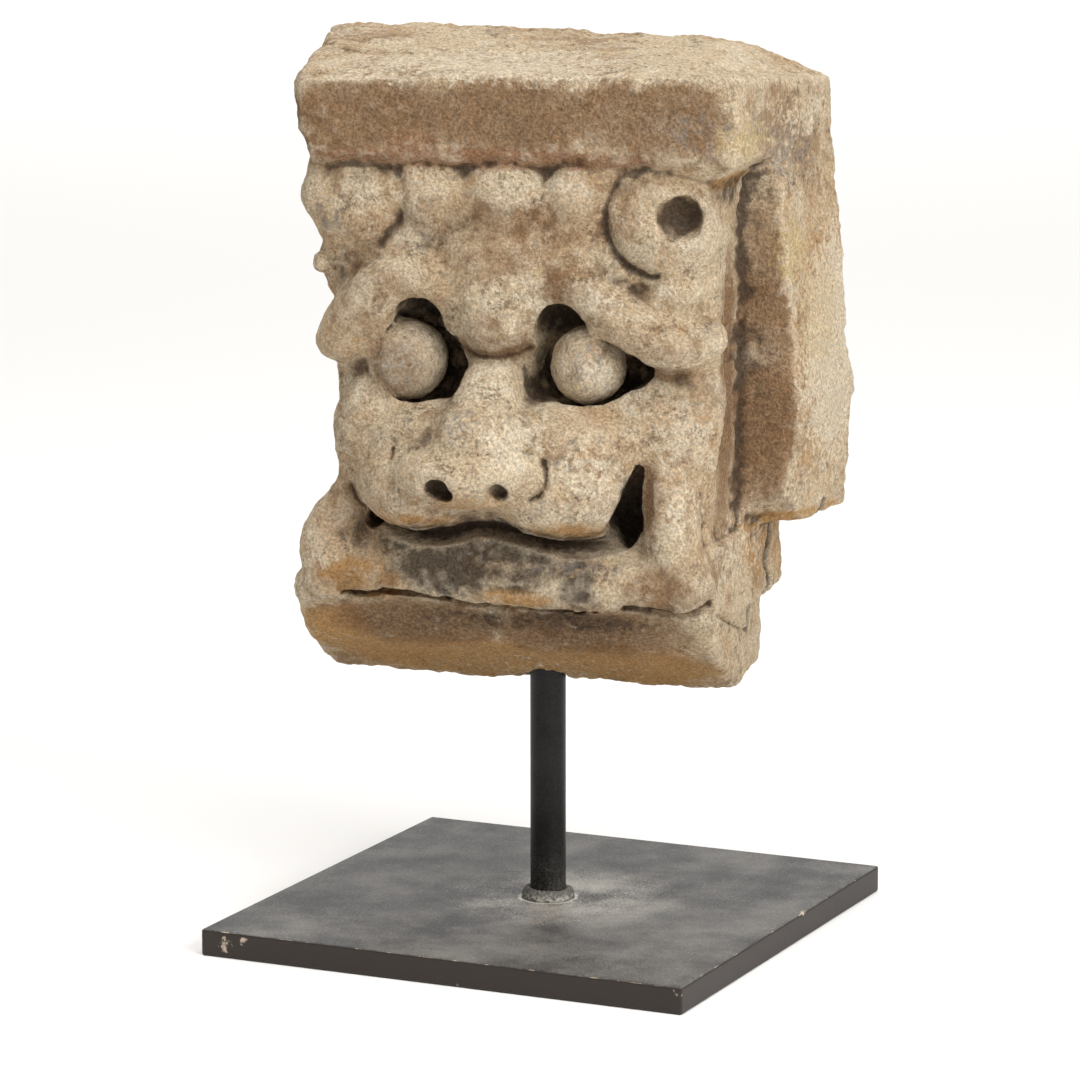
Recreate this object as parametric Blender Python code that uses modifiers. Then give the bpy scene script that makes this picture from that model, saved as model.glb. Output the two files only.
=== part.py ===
"""A carved beast-head corbel of weathered sandstone, held by a steel rod over a square steel plate.

The frame: the origin is at the middle of the plate's underside, the plate's edges run along X and Y, +Z is up.
The stone has axes of its own, turned on the rod: X across its face, Y from the face to the back and Z up from
its underside, with the rod on X = Y = 0. All sizes are in metres.
"""

import math
from collections import namedtuple

import bmesh
import bpy
from mathutils import Matrix, Vector

# The stand
PLATE_SIDE = 0.230
PLATE_THICKNESS = 0.012
PLATE_EDGE_BEVEL = 0.001
ROD_DIAMETER = 0.016
ROD_EDGE_BEVEL = 0.0008
ROD_SEAT_DEPTH = 0.060
STONE_LIFT = 0.100
WELD_DIAMETER = 0.025
WELD_HEIGHT = 0.0055
WELD_STEPS = 8
ROD_SIDES = 40
FIT_GAP = 0.0003

# The stone's block: a ledge below, the carved face, and a slab on top
STONE_TURN = math.radians(10)
FACE_WIDTH = 0.183
FACE_HEIGHT = 0.188
FACE_TO_ROD = 0.055
FACE_SHIFT = -0.0035
STONE_DEPTH = 0.121
FACE_GROUND = 0.006
LEFT_SIDE_INSET = 0.013
SIDE_FLARE_LEFT = 0.029
SIDE_FLARE_RIGHT = 0.005

LEDGE_HEIGHT = 0.043
LEDGE_SETBACK = 0.056
LEDGE_SHOULDER_HEIGHT = 0.023
LEDGE_SHOULDER_SETBACK = 0.014
LEDGE_OVERHANG_LEFT = 0.007
LEDGE_TAPER_RIGHT = 0.005

QUIRK_HEIGHT = 0.009
SLAB_HEIGHT = 0.038
SLAB_OVERHANG_FRONT = 0.008
SLAB_OVERHANG_LEFT = 0.001
SLAB_OVERHANG_RIGHT = 0.011
SLAB_FLARE_LEFT = 0.022
SLAB_FLARE_RIGHT = 0.015
SLAB_TOP_RISE = 0.009
SLAB_RIGHT_RISE = 0.006
SLAB_LEFT_DROP = 0.005
SLAB_CORNER_LENGTH = 0.030
SLAB_CORNER_DROP = 0.017

# The length of the slab's moulding that turns down the right side
WING_SETBACK = 0.051
WING_DROP = 0.166
WING_WIDTH_TOP = 0.015
WING_WIDTH_MIDDLE = 0.027
WING_WIDTH_BOTTOM = 0.022
WING_MIDDLE_HEIGHT = 0.056
WING_FLARE = 0.011
WING_BREAK_RISE = 0.012
WING_BREAK_DEPTH = 0.018

# Shaping: the grain of the voxels, how far weather has moved the surface, and what is left of the triangles
VOXEL = 0.0025
ROUGH_SIZE = 0.045
ROUGH_DEPTH = 0.0035
SMOOTH_STEPS = 4
KEPT_FACES = 0.082
SHARP_ANGLE = math.radians(40)

# Colours of the surfaces, linear
STONE_COLOUR = (0.46, 0.35, 0.23)
PLATE_COLOUR = (0.035, 0.032, 0.029)
ROD_COLOUR = (0.012, 0.010, 0.009)
WELD_COLOUR = (0.10, 0.09, 0.08)

HALF_WIDTH = FACE_WIDTH / 2
HALF_HEIGHT = FACE_HEIGHT / 2
FACE_BOTTOM = LEDGE_HEIGHT
FACE_TOP = LEDGE_HEIGHT + FACE_HEIGHT
SLAB_BOTTOM = FACE_TOP + QUIRK_HEIGHT
SLAB_TOP = SLAB_BOTTOM + SLAB_HEIGHT
FACE_LEFT = FACE_SHIFT - HALF_WIDTH
FACE_RIGHT = FACE_SHIFT + HALF_WIDTH
FACE_Y = -FACE_TO_ROD
BACK_Y = FACE_Y + STONE_DEPTH
WING_Y = FACE_Y + WING_SETBACK
STONE_Z = PLATE_THICKNESS + STONE_LIFT
OVERLAP = 0.006
SKIN = 0.0005

# Carving, as shares of the face: across and up run from -1 to 1 over its width and height, and out and deep
# are shares of half its width. A lump is an egg shape, and a roll is a run of balls along a smooth path.
Lump = namedtuple("Lump", "across out up wide deep tall")
Knot = namedtuple("Knot", "across out up radius")

MUZZLE = Lump(-0.05, -0.02, -0.33, 0.65, 0.31, 0.27)
NOSE_TIP = Lump(-0.09, 0.24, -0.35, 0.33, 0.28, 0.155)
LIP_PADS = (
    Lump(-0.38, 0.05, -0.42, 0.34, 0.31, 0.22),
    Lump(0.32, 0.05, -0.43, 0.34, 0.31, 0.23),
)
NOSE_BRIDGE = (
    Knot(-0.06, -0.05, 0.03, 0.14),
    Knot(-0.07, 0.06, -0.10, 0.19),
    Knot(-0.08, 0.18, -0.22, 0.23),
)
FOREHEAD = Lump(-0.02, -0.14, 0.60, 0.95, 0.22, 0.50)
FOREHEAD_DROP = (
    Knot(-0.06, -0.20, 0.60, 0.33),
    Knot(-0.06, -0.12, 0.42, 0.26),
    Knot(-0.06, -0.06, 0.33, 0.205),
)
CHEEKS = (
    Lump(-0.64, -0.07, -0.20, 0.24, 0.20, 0.30),
    Lump(0.60, -0.07, -0.20, 0.38, 0.18, 0.32),
)
LEFT_JOWL = (
    Knot(-0.70, -0.07, -0.28, 0.09),
    Knot(-0.77, -0.03, -0.49, 0.10),
    Knot(-0.88, -0.02, -0.69, 0.14),
    Knot(-0.88, -0.01, -0.88, 0.14),
)
RIGHT_JOWL = (
    Knot(0.76, -0.07, -0.18, 0.12),
    Knot(0.79, -0.01, -0.41, 0.13),
    Knot(0.81, 0.01, -0.66, 0.14),
    Knot(0.87, 0.00, -0.86, 0.14),
)
LOWER_LIP = (
    Knot(-0.79, 0.00, -0.85, 0.12),
    Knot(-0.40, 0.03, -0.84, 0.13),
    Knot(-0.02, 0.05, -0.86, 0.14),
    Knot(0.37, 0.05, -0.87, 0.14),
    Knot(0.72, 0.02, -0.85, 0.13),
)
LOWER_JAW = Lump(-0.02, -0.10, -0.76, 0.78, 0.27, 0.26)
RIGHT_EAR = Lump(0.75, -0.03, 0.79, 0.275, 0.14, 0.27)
LEFT_EAR = Lump(-0.73, -0.05, 0.82, 0.26, 0.14, 0.22)
LEFT_EAR_TIP = Lump(-0.91, -0.04, 0.90, 0.11, 0.11, 0.13)
TUFTS = (
    Lump(-0.42, 0.00, 0.93, 0.22, 0.085, 0.12),
    Lump(0.02, 0.00, 0.93, 0.22, 0.085, 0.12),
    Lump(0.45, 0.00, 0.93, 0.21, 0.085, 0.12),
)
TEMPLE_BUMP = Lump(-0.93, -0.06, 0.58, 0.045, 0.06, 0.05)
LEDGE_END = Lump(-0.99, -0.14, -0.96, 0.10, 0.22, 0.12)

# What stands in or over a hollow is added after the hollows are cut
LEFT_BROW = (
    Knot(-0.30, -0.03, 0.46, 0.12),
    Knot(-0.475, -0.01, 0.50, 0.135),
    Knot(-0.62, -0.01, 0.43, 0.15),
    Knot(-0.75, -0.02, 0.30, 0.15),
    Knot(-0.84, -0.04, 0.23, 0.115),
)
RIGHT_BROW = (
    Knot(0.30, -0.03, 0.52, 0.11),
    Knot(0.47, 0.00, 0.44, 0.125),
    Knot(0.64, 0.01, 0.32, 0.135),
    Knot(0.80, 0.00, 0.26, 0.135),
    Knot(0.93, -0.06, 0.27, 0.11),
)
EYES = (
    Lump(-0.52, -0.09, 0.135, 0.20, 0.20, 0.195),
    Lump(0.385, -0.09, 0.14, 0.20, 0.20, 0.195),
)

SOCKETS = (
    Lump(-0.455, -0.09, 0.14, 0.25, 0.26, 0.23),
    Lump(-0.455, -0.06, 0.31, 0.12, 0.22, 0.13),
    Lump(0.38, -0.09, 0.13, 0.30, 0.26, 0.22),
    Lump(0.25, -0.065, 0.27, 0.14, 0.24, 0.135),
)
EAR_HOLE = Lump(0.83, 0.08, 0.82, 0.12, 0.20, 0.115)
NOSTRILS = (
    Lump(-0.22, 0.48, -0.38, 0.07, 0.14, 0.055),
    Lump(0.065, 0.48, -0.395, 0.055, 0.14, 0.055),
)
MOUTH = (
    Knot(-0.66, 0.04, -0.57, 0.040),
    Knot(-0.40, 0.12, -0.66, 0.045),
    Knot(-0.05, 0.14, -0.61, 0.045),
    Knot(0.34, 0.12, -0.685, 0.045),
    Knot(0.58, 0.08, -0.65, 0.050),
)
MOUTH_CORNER = (
    Knot(0.66, 0.04, -0.35, 0.04),
    Knot(0.63, 0.02, -0.52, 0.07),
    Knot(0.60, 0.00, -0.65, 0.08),
)
MOUTH_STRETCH = 3.0
NOSE_GROOVE = (
    Knot(0.27, 0.39, -0.29, 0.03),
    Knot(0.29, 0.40, -0.38, 0.03),
    Knot(0.25, 0.42, -0.46, 0.03),
)
SLAB_END_BREAK = (
    Knot(-1.11, 0.12, 1.09, 0.16),
    Knot(-1.17, -0.30, 1.09, 0.15),
    Knot(-1.25, -0.70, 1.08, 0.13),
)
EAR_GROOVE_WIDTH = 0.04
EAR_GROOVE_OUT = 0.05
EAR_GROOVE_ARC = (math.radians(100), math.radians(300))
EAR_GROOVE_STEPS = 24


def clear_scene():
    for obj in list(bpy.data.objects):
        bpy.data.objects.remove(obj, do_unlink=True)


def new_collection(name, helper=False):
    collection = bpy.data.collections.new(name)
    bpy.context.scene.collection.children.link(collection)
    collection.hide_render = helper
    return collection


def object_from(bm, name, collection, smooth=True):
    """A new object whose mesh is taken from bm, shaded smooth except at sharp edges."""
    mesh = bpy.data.meshes.new(name)
    bmesh.ops.recalc_face_normals(bm, faces=bm.faces)
    bm.to_mesh(mesh)
    bm.free()
    if smooth:
        mesh.shade_smooth()
        mesh.set_sharp_from_angle(angle=SHARP_ANGLE)
    obj = bpy.data.objects.new(name, mesh)
    collection.objects.link(obj)
    return obj


def paint(obj, name, colour, roughness, metallic=0.0):
    """One Principled material in linear colour on the object."""
    material = bpy.data.materials.new(name)
    material.use_nodes = True
    shader = material.node_tree.nodes["Principled BSDF"]
    shader.inputs["Base Color"].default_value = (*colour, 1.0)
    shader.inputs["Roughness"].default_value = roughness
    shader.inputs["Metallic"].default_value = metallic
    material.diffuse_color = (*colour, 1.0)
    obj.data.materials.append(material)


def on_face(across, out, up):
    """A point of the carving in the stone's axes."""
    return Vector((
        FACE_SHIFT + across * HALF_WIDTH,
        FACE_Y - out * HALF_WIDTH,
        FACE_BOTTOM + (up + 1) * HALF_HEIGHT,
    ))


def add_egg(bm, centre, radii):
    """A ball at centre, stretched to its three radii."""
    shape = Matrix.Translation(centre) @ Matrix.Diagonal((*radii, 1.0))
    bmesh.ops.create_icosphere(bm, subdivisions=3, radius=1.0, matrix=shape)


def add_lump(bm, lump):
    radii = (lump.wide * HALF_WIDTH, lump.deep * HALF_WIDTH, lump.tall * HALF_HEIGHT)
    add_egg(bm, on_face(lump.across, lump.out, lump.up), radii)


def between(before, start, end, after, share):
    """One value of the smooth curve that runs from start to end, as its neighbours on both sides steer it."""
    return 0.5 * (
        2 * start
        + (end - before) * share
        + (2 * before - 5 * start + 4 * end - after) * share**2
        + (3 * start - before - 3 * end + after) * share**3
    )


def smooth_knots(knots, steps=8):
    """Knots along a smooth path through the given ones."""
    ends = (knots[0], *knots, knots[-1])
    path = []
    for first in range(len(knots) - 1):
        four = ends[first:first + 4]
        path += [Knot(*(between(*values, step / steps) for values in zip(*four))) for step in range(steps)]
    return path + [knots[-1]]


def add_roll(bm, knots, stretch=1.0):
    """A roll of balls along the knots, each stretched into the stone."""
    for knot in smooth_knots(knots):
        radius = knot.radius * HALF_WIDTH
        add_egg(bm, on_face(knot.across, knot.out, knot.up), (radius, radius * stretch, radius))


def add_block(bm, left, right, front, back, bottom, top):
    """A box whose limits may each differ from corner to corner: every one is a function of the corner's signs."""
    made = bmesh.ops.create_cube(bm, size=2.0)
    for vert in made["verts"]:
        x, y, z = (round(value) for value in vert.co)
        side = left if x < 0 else right
        face = front if y < 0 else back
        level = bottom if z < 0 else top
        vert.co = (side(y, z), face(x, z), level(x, y))


def fixed(value):
    return lambda *signs: value


def split(when_low, when_high, sign=0):
    """One value on the low side of the corner's given sign and another on the high side."""
    return lambda *signs: when_low if signs[sign] < 0 else when_high


def add_core(bm):
    """The block behind the face. Its left side is cut back at the front and flares to the full width."""
    left = FACE_LEFT + LEFT_SIDE_INSET
    add_block(
        bm,
        left=split(left, left - SIDE_FLARE_LEFT),
        right=split(FACE_RIGHT, FACE_RIGHT + SIDE_FLARE_RIGHT),
        front=fixed(FACE_Y + FACE_GROUND),
        back=fixed(BACK_Y),
        bottom=fixed(FACE_BOTTOM - OVERLAP),
        top=fixed(FACE_TOP + OVERLAP),
    )


def add_ledge(bm):
    """The plain foot of the block, whose front curves back to the underside in two slopes."""
    left = fixed(FACE_LEFT - LEDGE_OVERHANG_LEFT)
    right = split(FACE_RIGHT, FACE_RIGHT - LEDGE_TAPER_RIGHT)
    shoulder = FACE_Y + LEDGE_SHOULDER_SETBACK
    back = fixed(BACK_Y)
    add_block(bm, left, right, split(shoulder, FACE_Y, 1), back, fixed(LEDGE_SHOULDER_HEIGHT), fixed(LEDGE_HEIGHT))
    foot = FACE_Y + LEDGE_SETBACK
    add_block(bm, left, right, split(foot, shoulder, 1), back, fixed(0.0), fixed(LEDGE_SHOULDER_HEIGHT + SKIN))


def add_slab(bm):
    """The slab with its flat fascia, its worn back corner, and the sloping quirk that joins it to the face."""
    slab_left = FACE_LEFT - SLAB_OVERHANG_LEFT
    slab_right = FACE_RIGHT + SLAB_OVERHANG_RIGHT
    corner = slab_right - SLAB_CORNER_LENGTH
    left = split(slab_left, slab_left - SLAB_FLARE_LEFT)
    right = split(slab_right, slab_right + SLAB_FLARE_RIGHT)
    front = fixed(FACE_Y - SLAB_OVERHANG_FRONT)
    back = fixed(BACK_Y)

    def main_top(x, y):
        if x < 0:
            return SLAB_TOP + (SLAB_TOP_RISE if y > 0 else -SLAB_LEFT_DROP)
        return SLAB_TOP + (SLAB_RIGHT_RISE if y > 0 else 0.0)

    def corner_top(x, y):
        back_drop = SLAB_CORNER_DROP if x > 0 else 0.0
        return SLAB_TOP + (SLAB_RIGHT_RISE - back_drop if y > 0 else 0.0)

    add_block(bm, left, fixed(corner + SKIN), front, back, fixed(SLAB_BOTTOM), main_top)
    add_block(bm, fixed(corner), right, front, back, fixed(SLAB_BOTTOM), corner_top)

    def quirk_right(y, z):
        return right(y, z) if z > 0 else FACE_RIGHT + (SIDE_FLARE_RIGHT if y > 0 else 0.0)

    quirk_front = split(FACE_Y + FACE_GROUND, FACE_Y - SLAB_OVERHANG_FRONT, 1)
    add_block(bm, left, quirk_right, quirk_front, back, fixed(FACE_TOP - SKIN), fixed(SLAB_BOTTOM + SKIN))


def wing_side(width_below, width_above, near, far):
    """The outer side of a length of the wing that runs from one depth to another, flaring towards the back."""
    def side(y, z):
        width = width_below if z < 0 else width_above
        depth = near if y < 0 else far
        return FACE_RIGHT + width + WING_FLARE * (depth - WING_Y) / (BACK_Y - WING_Y)

    return side


def add_wing(bm):
    """The moulding's return down the right side, widest below its middle, its lower front edge broken away."""
    left = fixed(FACE_RIGHT - 2 * OVERLAP)
    bottom = SLAB_BOTTOM - WING_DROP
    middle = bottom + WING_MIDDLE_HEIGHT
    top = SLAB_BOTTOM + OVERLAP
    near = WING_Y
    whole = WING_Y + WING_BREAK_DEPTH
    lower = (WING_WIDTH_BOTTOM, WING_WIDTH_MIDDLE)
    upper = (WING_WIDTH_MIDDLE, WING_WIDTH_TOP)

    def add_length(widths, front, back, base, head):
        add_block(bm, left, wing_side(*widths, front, back), fixed(front), fixed(back), base, fixed(head))

    add_length(upper, near, BACK_Y, fixed(middle), top)
    add_length(lower, whole - SKIN, BACK_Y, fixed(bottom), middle + SKIN)
    add_length(lower, near, whole, split(bottom + WING_BREAK_RISE, bottom, 1), middle + SKIN)


def add_ear_groove(bm):
    """The groove round the scrolled ear, an arc about the ear's middle."""
    start, end = EAR_GROOVE_ARC
    ring = RIGHT_EAR.wide + EAR_GROOVE_WIDTH / 2
    for step in range(EAR_GROOVE_STEPS + 1):
        angle = start + (end - start) * step / EAR_GROOVE_STEPS
        centre = on_face(
            RIGHT_EAR.across + ring * math.cos(angle),
            EAR_GROOVE_OUT,
            RIGHT_EAR.up + ring * math.sin(angle) * HALF_WIDTH / HALF_HEIGHT,
        )
        radius = EAR_GROOVE_WIDTH * HALF_WIDTH
        add_egg(bm, centre, (radius, radius, radius))


def voxelise(obj):
    """Joins all the overlapping shapes of the object into one skin."""
    remesh = obj.modifiers.new("One skin", "REMESH")
    remesh.mode = "VOXEL"
    remesh.voxel_size = VOXEL


def boolean(obj, name, other, operation, solver="EXACT"):
    modifier = obj.modifiers.new(name, "BOOLEAN")
    modifier.operation = operation
    modifier.object = other
    modifier.solver = solver


def as_helper(obj):
    obj.hide_render = True
    obj.display_type = "WIRE"


def make_helper(name, collection, add_shapes):
    """A hidden object that a Boolean reads: one skin round the shapes that add_shapes puts in it."""
    bm = bmesh.new()
    add_shapes(bm)
    helper = object_from(bm, name, collection)
    voxelise(helper)
    as_helper(helper)
    return helper


def add_head_forms(bm):
    face = (MUZZLE, NOSE_TIP, *LIP_PADS, FOREHEAD, *CHEEKS, LOWER_JAW, TEMPLE_BUMP, *TUFTS)
    ears = (RIGHT_EAR, LEFT_EAR, LEFT_EAR_TIP)
    for lump in (*face, *ears, LEDGE_END):
        add_lump(bm, lump)
    for knots in (NOSE_BRIDGE, FOREHEAD_DROP, LEFT_JOWL, RIGHT_JOWL, LOWER_LIP):
        add_roll(bm, knots)


def add_hollows(bm):
    for lump in (*SOCKETS, EAR_HOLE, *NOSTRILS):
        add_lump(bm, lump)
    add_roll(bm, MOUTH, MOUTH_STRETCH)
    add_roll(bm, MOUTH_CORNER, MOUTH_STRETCH)
    add_roll(bm, NOSE_GROOVE)
    add_roll(bm, SLAB_END_BREAK)
    add_ear_groove(bm)


def add_raised_forms(bm):
    add_roll(bm, LEFT_BROW)
    add_roll(bm, RIGHT_BROW)
    for eye in EYES:
        add_lump(bm, eye)


def make_rod_seat(collection):
    """The drilled seat in the stone's underside, a clearance wider and deeper than the rod."""
    bm = bmesh.new()
    radius = ROD_DIAMETER / 2 + FIT_GAP
    depth = ROD_SEAT_DEPTH + FIT_GAP
    bmesh.ops.create_cone(
        bm,
        cap_ends=True,
        segments=ROD_SIDES,
        radius1=radius,
        radius2=radius,
        depth=2 * depth,
    )
    seat = object_from(bm, "rod_seat", collection)
    as_helper(seat)
    return seat


def make_stone(parts, cutters):
    """The corbel, one stone from the ledge to the slab."""
    bm = bmesh.new()
    add_core(bm)
    add_ledge(bm)
    add_slab(bm)
    add_wing(bm)
    stone = object_from(bm, "stone_corbel", parts)
    voxelise(stone)

    rough = bpy.data.textures.new("weathered_block", "CLOUDS")
    rough.noise_scale = ROUGH_SIZE
    weather = stone.modifiers.new("Weather", "DISPLACE")
    weather.texture = rough
    weather.texture_coords = "LOCAL"
    weather.strength = ROUGH_DEPTH

    helpers = (
        ("head_forms", add_head_forms, "UNION"),
        ("hollows", add_hollows, "DIFFERENCE"),
        ("brows_and_eyes", add_raised_forms, "UNION"),
    )
    placed = [stone]
    for name, add_shapes, operation in helpers:
        helper = make_helper(name, cutters, add_shapes)
        # The exact solver loses the left brow here, and all these skins are closed
        boolean(stone, name, helper, operation, solver="MANIFOLD")
        placed.append(helper)
    voxelise(stone)

    smooth = stone.modifiers.new("Worn", "SMOOTH")
    smooth.factor = 0.5
    smooth.iterations = SMOOTH_STEPS
    decimate = stone.modifiers.new("Fewer faces", "DECIMATE")
    decimate.ratio = KEPT_FACES

    seat = make_rod_seat(cutters)
    boolean(stone, "Rod seat", seat, "DIFFERENCE")
    placed.append(seat)
    for obj in placed:
        obj.location = (0.0, 0.0, STONE_Z)
        obj.rotation_euler = (0.0, 0.0, STONE_TURN)
    paint(stone, "weathered_sandstone", STONE_COLOUR, 0.92)
    return stone


def make_plate(parts):
    bm = bmesh.new()
    size = Matrix.Diagonal((PLATE_SIDE, PLATE_SIDE, PLATE_THICKNESS, 1.0))
    bmesh.ops.create_cube(bm, size=1.0, matrix=Matrix.Translation((0, 0, PLATE_THICKNESS / 2)) @ size)
    plate = object_from(bm, "base_plate", parts, smooth=False)
    bevel = plate.modifiers.new("Eased edges", "BEVEL")
    bevel.width = PLATE_EDGE_BEVEL
    bevel.segments = 2
    paint(plate, "black_painted_plate", PLATE_COLOUR, 0.55)
    return plate


def make_rod(parts):
    """The round rod, from the plate's top into its seat in the stone."""
    bottom = PLATE_THICKNESS + FIT_GAP
    top = STONE_Z + ROD_SEAT_DEPTH
    bm = bmesh.new()
    bmesh.ops.create_cone(
        bm,
        cap_ends=True,
        segments=ROD_SIDES,
        radius1=ROD_DIAMETER / 2,
        radius2=ROD_DIAMETER / 2,
        depth=top - bottom,
        matrix=Matrix.Translation((0, 0, (bottom + top) / 2)),
    )
    rod = object_from(bm, "rod", parts)
    bevel = rod.modifiers.new("Eased ends", "BEVEL")
    bevel.width = ROD_EDGE_BEVEL
    bevel.segments = 2
    bevel.limit_method = "ANGLE"
    paint(rod, "black_painted_rod", ROD_COLOUR, 0.45)
    return rod


def make_weld(parts):
    """The bead round the rod's foot, a turned quarter-round."""
    inner = ROD_DIAMETER / 2 + FIT_GAP
    reach = WELD_DIAMETER / 2 - inner
    bottom = PLATE_THICKNESS + FIT_GAP
    bm = bmesh.new()
    profile = []
    for step in range(WELD_STEPS + 1):
        angle = math.pi / 2 * step / WELD_STEPS
        point = (inner + reach * math.sin(angle), 0.0, bottom + WELD_HEIGHT * math.cos(angle))
        profile.append(bm.verts.new(point))
    profile.append(bm.verts.new((inner, 0.0, bottom)))
    for first, second in zip(profile, profile[1:] + profile[:1]):
        bm.edges.new((first, second))
    weld = object_from(bm, "weld_bead", parts)
    turn = weld.modifiers.new("Turned", "SCREW")
    turn.angle = 2 * math.pi
    turn.steps = ROD_SIDES
    turn.render_steps = ROD_SIDES
    turn.use_merge_vertices = True
    turn.merge_threshold = 0.00001
    paint(weld, "black_painted_weld", WELD_COLOUR, 0.6)
    return weld


def main():
    clear_scene()
    parts = new_collection("stone_corbel_on_stand")
    cutters = new_collection("cutters", helper=True)
    make_plate(parts)
    make_weld(parts)
    make_rod(parts)
    make_stone(parts, cutters)


main()
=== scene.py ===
"""The looks of a carved sandstone corbel on a painted steel stand, laid out as a Blender add-on.

The stone has axes of its own: X across its face, Y from the face to the back and Z up from its underside,
with the rod on X = Y = 0. It is carved in those axes and then set on the rod. Sizes are in metres, unless
their name ends in mm.
"""

import math
from collections import namedtuple

import bpy
import numpy as np
from bpy.props import FloatProperty, FloatVectorProperty, IntProperty, PointerProperty
from bpy.types import Operator, Panel, PropertyGroup
from mathutils import Matrix, Vector, noise


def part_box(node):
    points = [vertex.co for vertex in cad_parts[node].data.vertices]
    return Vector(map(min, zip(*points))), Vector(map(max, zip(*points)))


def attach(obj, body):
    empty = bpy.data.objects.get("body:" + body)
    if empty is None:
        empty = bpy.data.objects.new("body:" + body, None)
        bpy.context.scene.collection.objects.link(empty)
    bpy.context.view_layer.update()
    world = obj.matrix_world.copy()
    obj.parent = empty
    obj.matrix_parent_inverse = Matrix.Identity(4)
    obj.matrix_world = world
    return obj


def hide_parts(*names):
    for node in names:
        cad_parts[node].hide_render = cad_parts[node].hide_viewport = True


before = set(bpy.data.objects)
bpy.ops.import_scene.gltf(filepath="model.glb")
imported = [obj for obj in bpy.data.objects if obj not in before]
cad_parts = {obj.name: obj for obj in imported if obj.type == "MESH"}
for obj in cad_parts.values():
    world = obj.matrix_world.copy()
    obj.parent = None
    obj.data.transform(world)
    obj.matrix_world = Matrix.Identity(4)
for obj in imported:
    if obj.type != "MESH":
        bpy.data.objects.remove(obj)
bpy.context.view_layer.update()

bl_info = {
    "name": "Stone Corbel on a Stand",
    "version": (1, 0, 0),
    "blender": (4, 5, 0),
    "location": "3D View > Sidebar > Corbel",
    "description": "Carves and weathers a sandstone corbel and finishes its painted steel stand",
    "category": "Add Mesh",
}

MM = 0.001
SAME_POINT = 0.01 * MM

# Carving, as shares of the face: across and up run from -1 to 1 over its width and height. Out, wide, deep
# and radius are shares of half its width, and tall of half its height. A lump is an egg shape, and a run of
# knots is a roll of pellets along a smooth path.
Lump = namedtuple("Lump", "across out up wide deep tall")
Knot = namedtuple("Knot", "across out up radius")

MUZZLE = Lump(-0.05, -0.02, -0.33, 0.65, 0.31, 0.27)
NOSE_TIP = Lump(-0.125, 0.23, -0.34, 0.375, 0.28, 0.16)
LIP_PADS = (
    Lump(-0.38, 0.05, -0.42, 0.34, 0.31, 0.22),
    Lump(0.28, 0.05, -0.43, 0.34, 0.31, 0.23),
)
MUZZLE_FLANKS = (
    Lump(-0.36, 0.00, -0.25, 0.36, 0.24, 0.23),
    Lump(0.28, 0.02, -0.25, 0.38, 0.25, 0.23),
)
NOSE_BRIDGE = (
    Knot(-0.06, 0.00, 0.06, 0.14),
    Knot(-0.07, 0.11, -0.08, 0.18),
    Knot(-0.08, 0.21, -0.22, 0.23),
)
FOREHEAD = Lump(-0.02, -0.14, 0.60, 0.95, 0.22, 0.50)
FOREHEAD_DROP = (
    Knot(-0.06, -0.20, 0.60, 0.33),
    Knot(-0.06, -0.12, 0.42, 0.26),
    Knot(-0.06, -0.06, 0.33, 0.205),
)
CHEEKS = (
    Lump(-0.64, -0.07, -0.20, 0.24, 0.20, 0.30),
    Lump(0.60, -0.07, -0.20, 0.38, 0.18, 0.32),
)
LEFT_JOWL = (
    Knot(-0.70, -0.07, -0.28, 0.09),
    Knot(-0.77, -0.03, -0.49, 0.10),
    Knot(-0.88, -0.02, -0.69, 0.14),
    Knot(-0.88, -0.01, -0.88, 0.14),
)
RIGHT_JOWL = (
    Knot(0.76, -0.07, -0.18, 0.12),
    Knot(0.79, -0.01, -0.41, 0.13),
    Knot(0.81, 0.01, -0.66, 0.14),
    Knot(0.87, 0.00, -0.86, 0.14),
)
LOWER_LIP = (
    Knot(-0.79, 0.00, -0.85, 0.12),
    Knot(-0.40, 0.03, -0.84, 0.13),
    Knot(-0.02, 0.05, -0.86, 0.14),
    Knot(0.37, 0.05, -0.87, 0.14),
    Knot(0.72, 0.02, -0.85, 0.13),
)
LOWER_JAW = Lump(-0.02, -0.10, -0.76, 0.78, 0.27, 0.26)
RIGHT_EAR = Lump(0.75, -0.03, 0.79, 0.275, 0.14, 0.27)
LEFT_EAR = Lump(-0.73, -0.05, 0.86, 0.26, 0.14, 0.22)
LEFT_EAR_TIP = Lump(-0.91, -0.04, 0.90, 0.11, 0.11, 0.13)
TUFTS = (
    Lump(-0.375, -0.01, 0.92, 0.21, 0.12, 0.17),
    Lump(0.00, -0.01, 0.92, 0.24, 0.12, 0.17),
    Lump(0.34, -0.01, 0.93, 0.17, 0.12, 0.15),
)
TEMPLE_BUMP = Lump(-0.93, -0.06, 0.58, 0.045, 0.06, 0.05)
EAR_ROOT = Lump(0.80, -0.06, 0.50, 0.16, 0.14, 0.13)
LEDGE_END = Lump(-0.99, -0.14, -0.96, 0.10, 0.22, 0.12)

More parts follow.
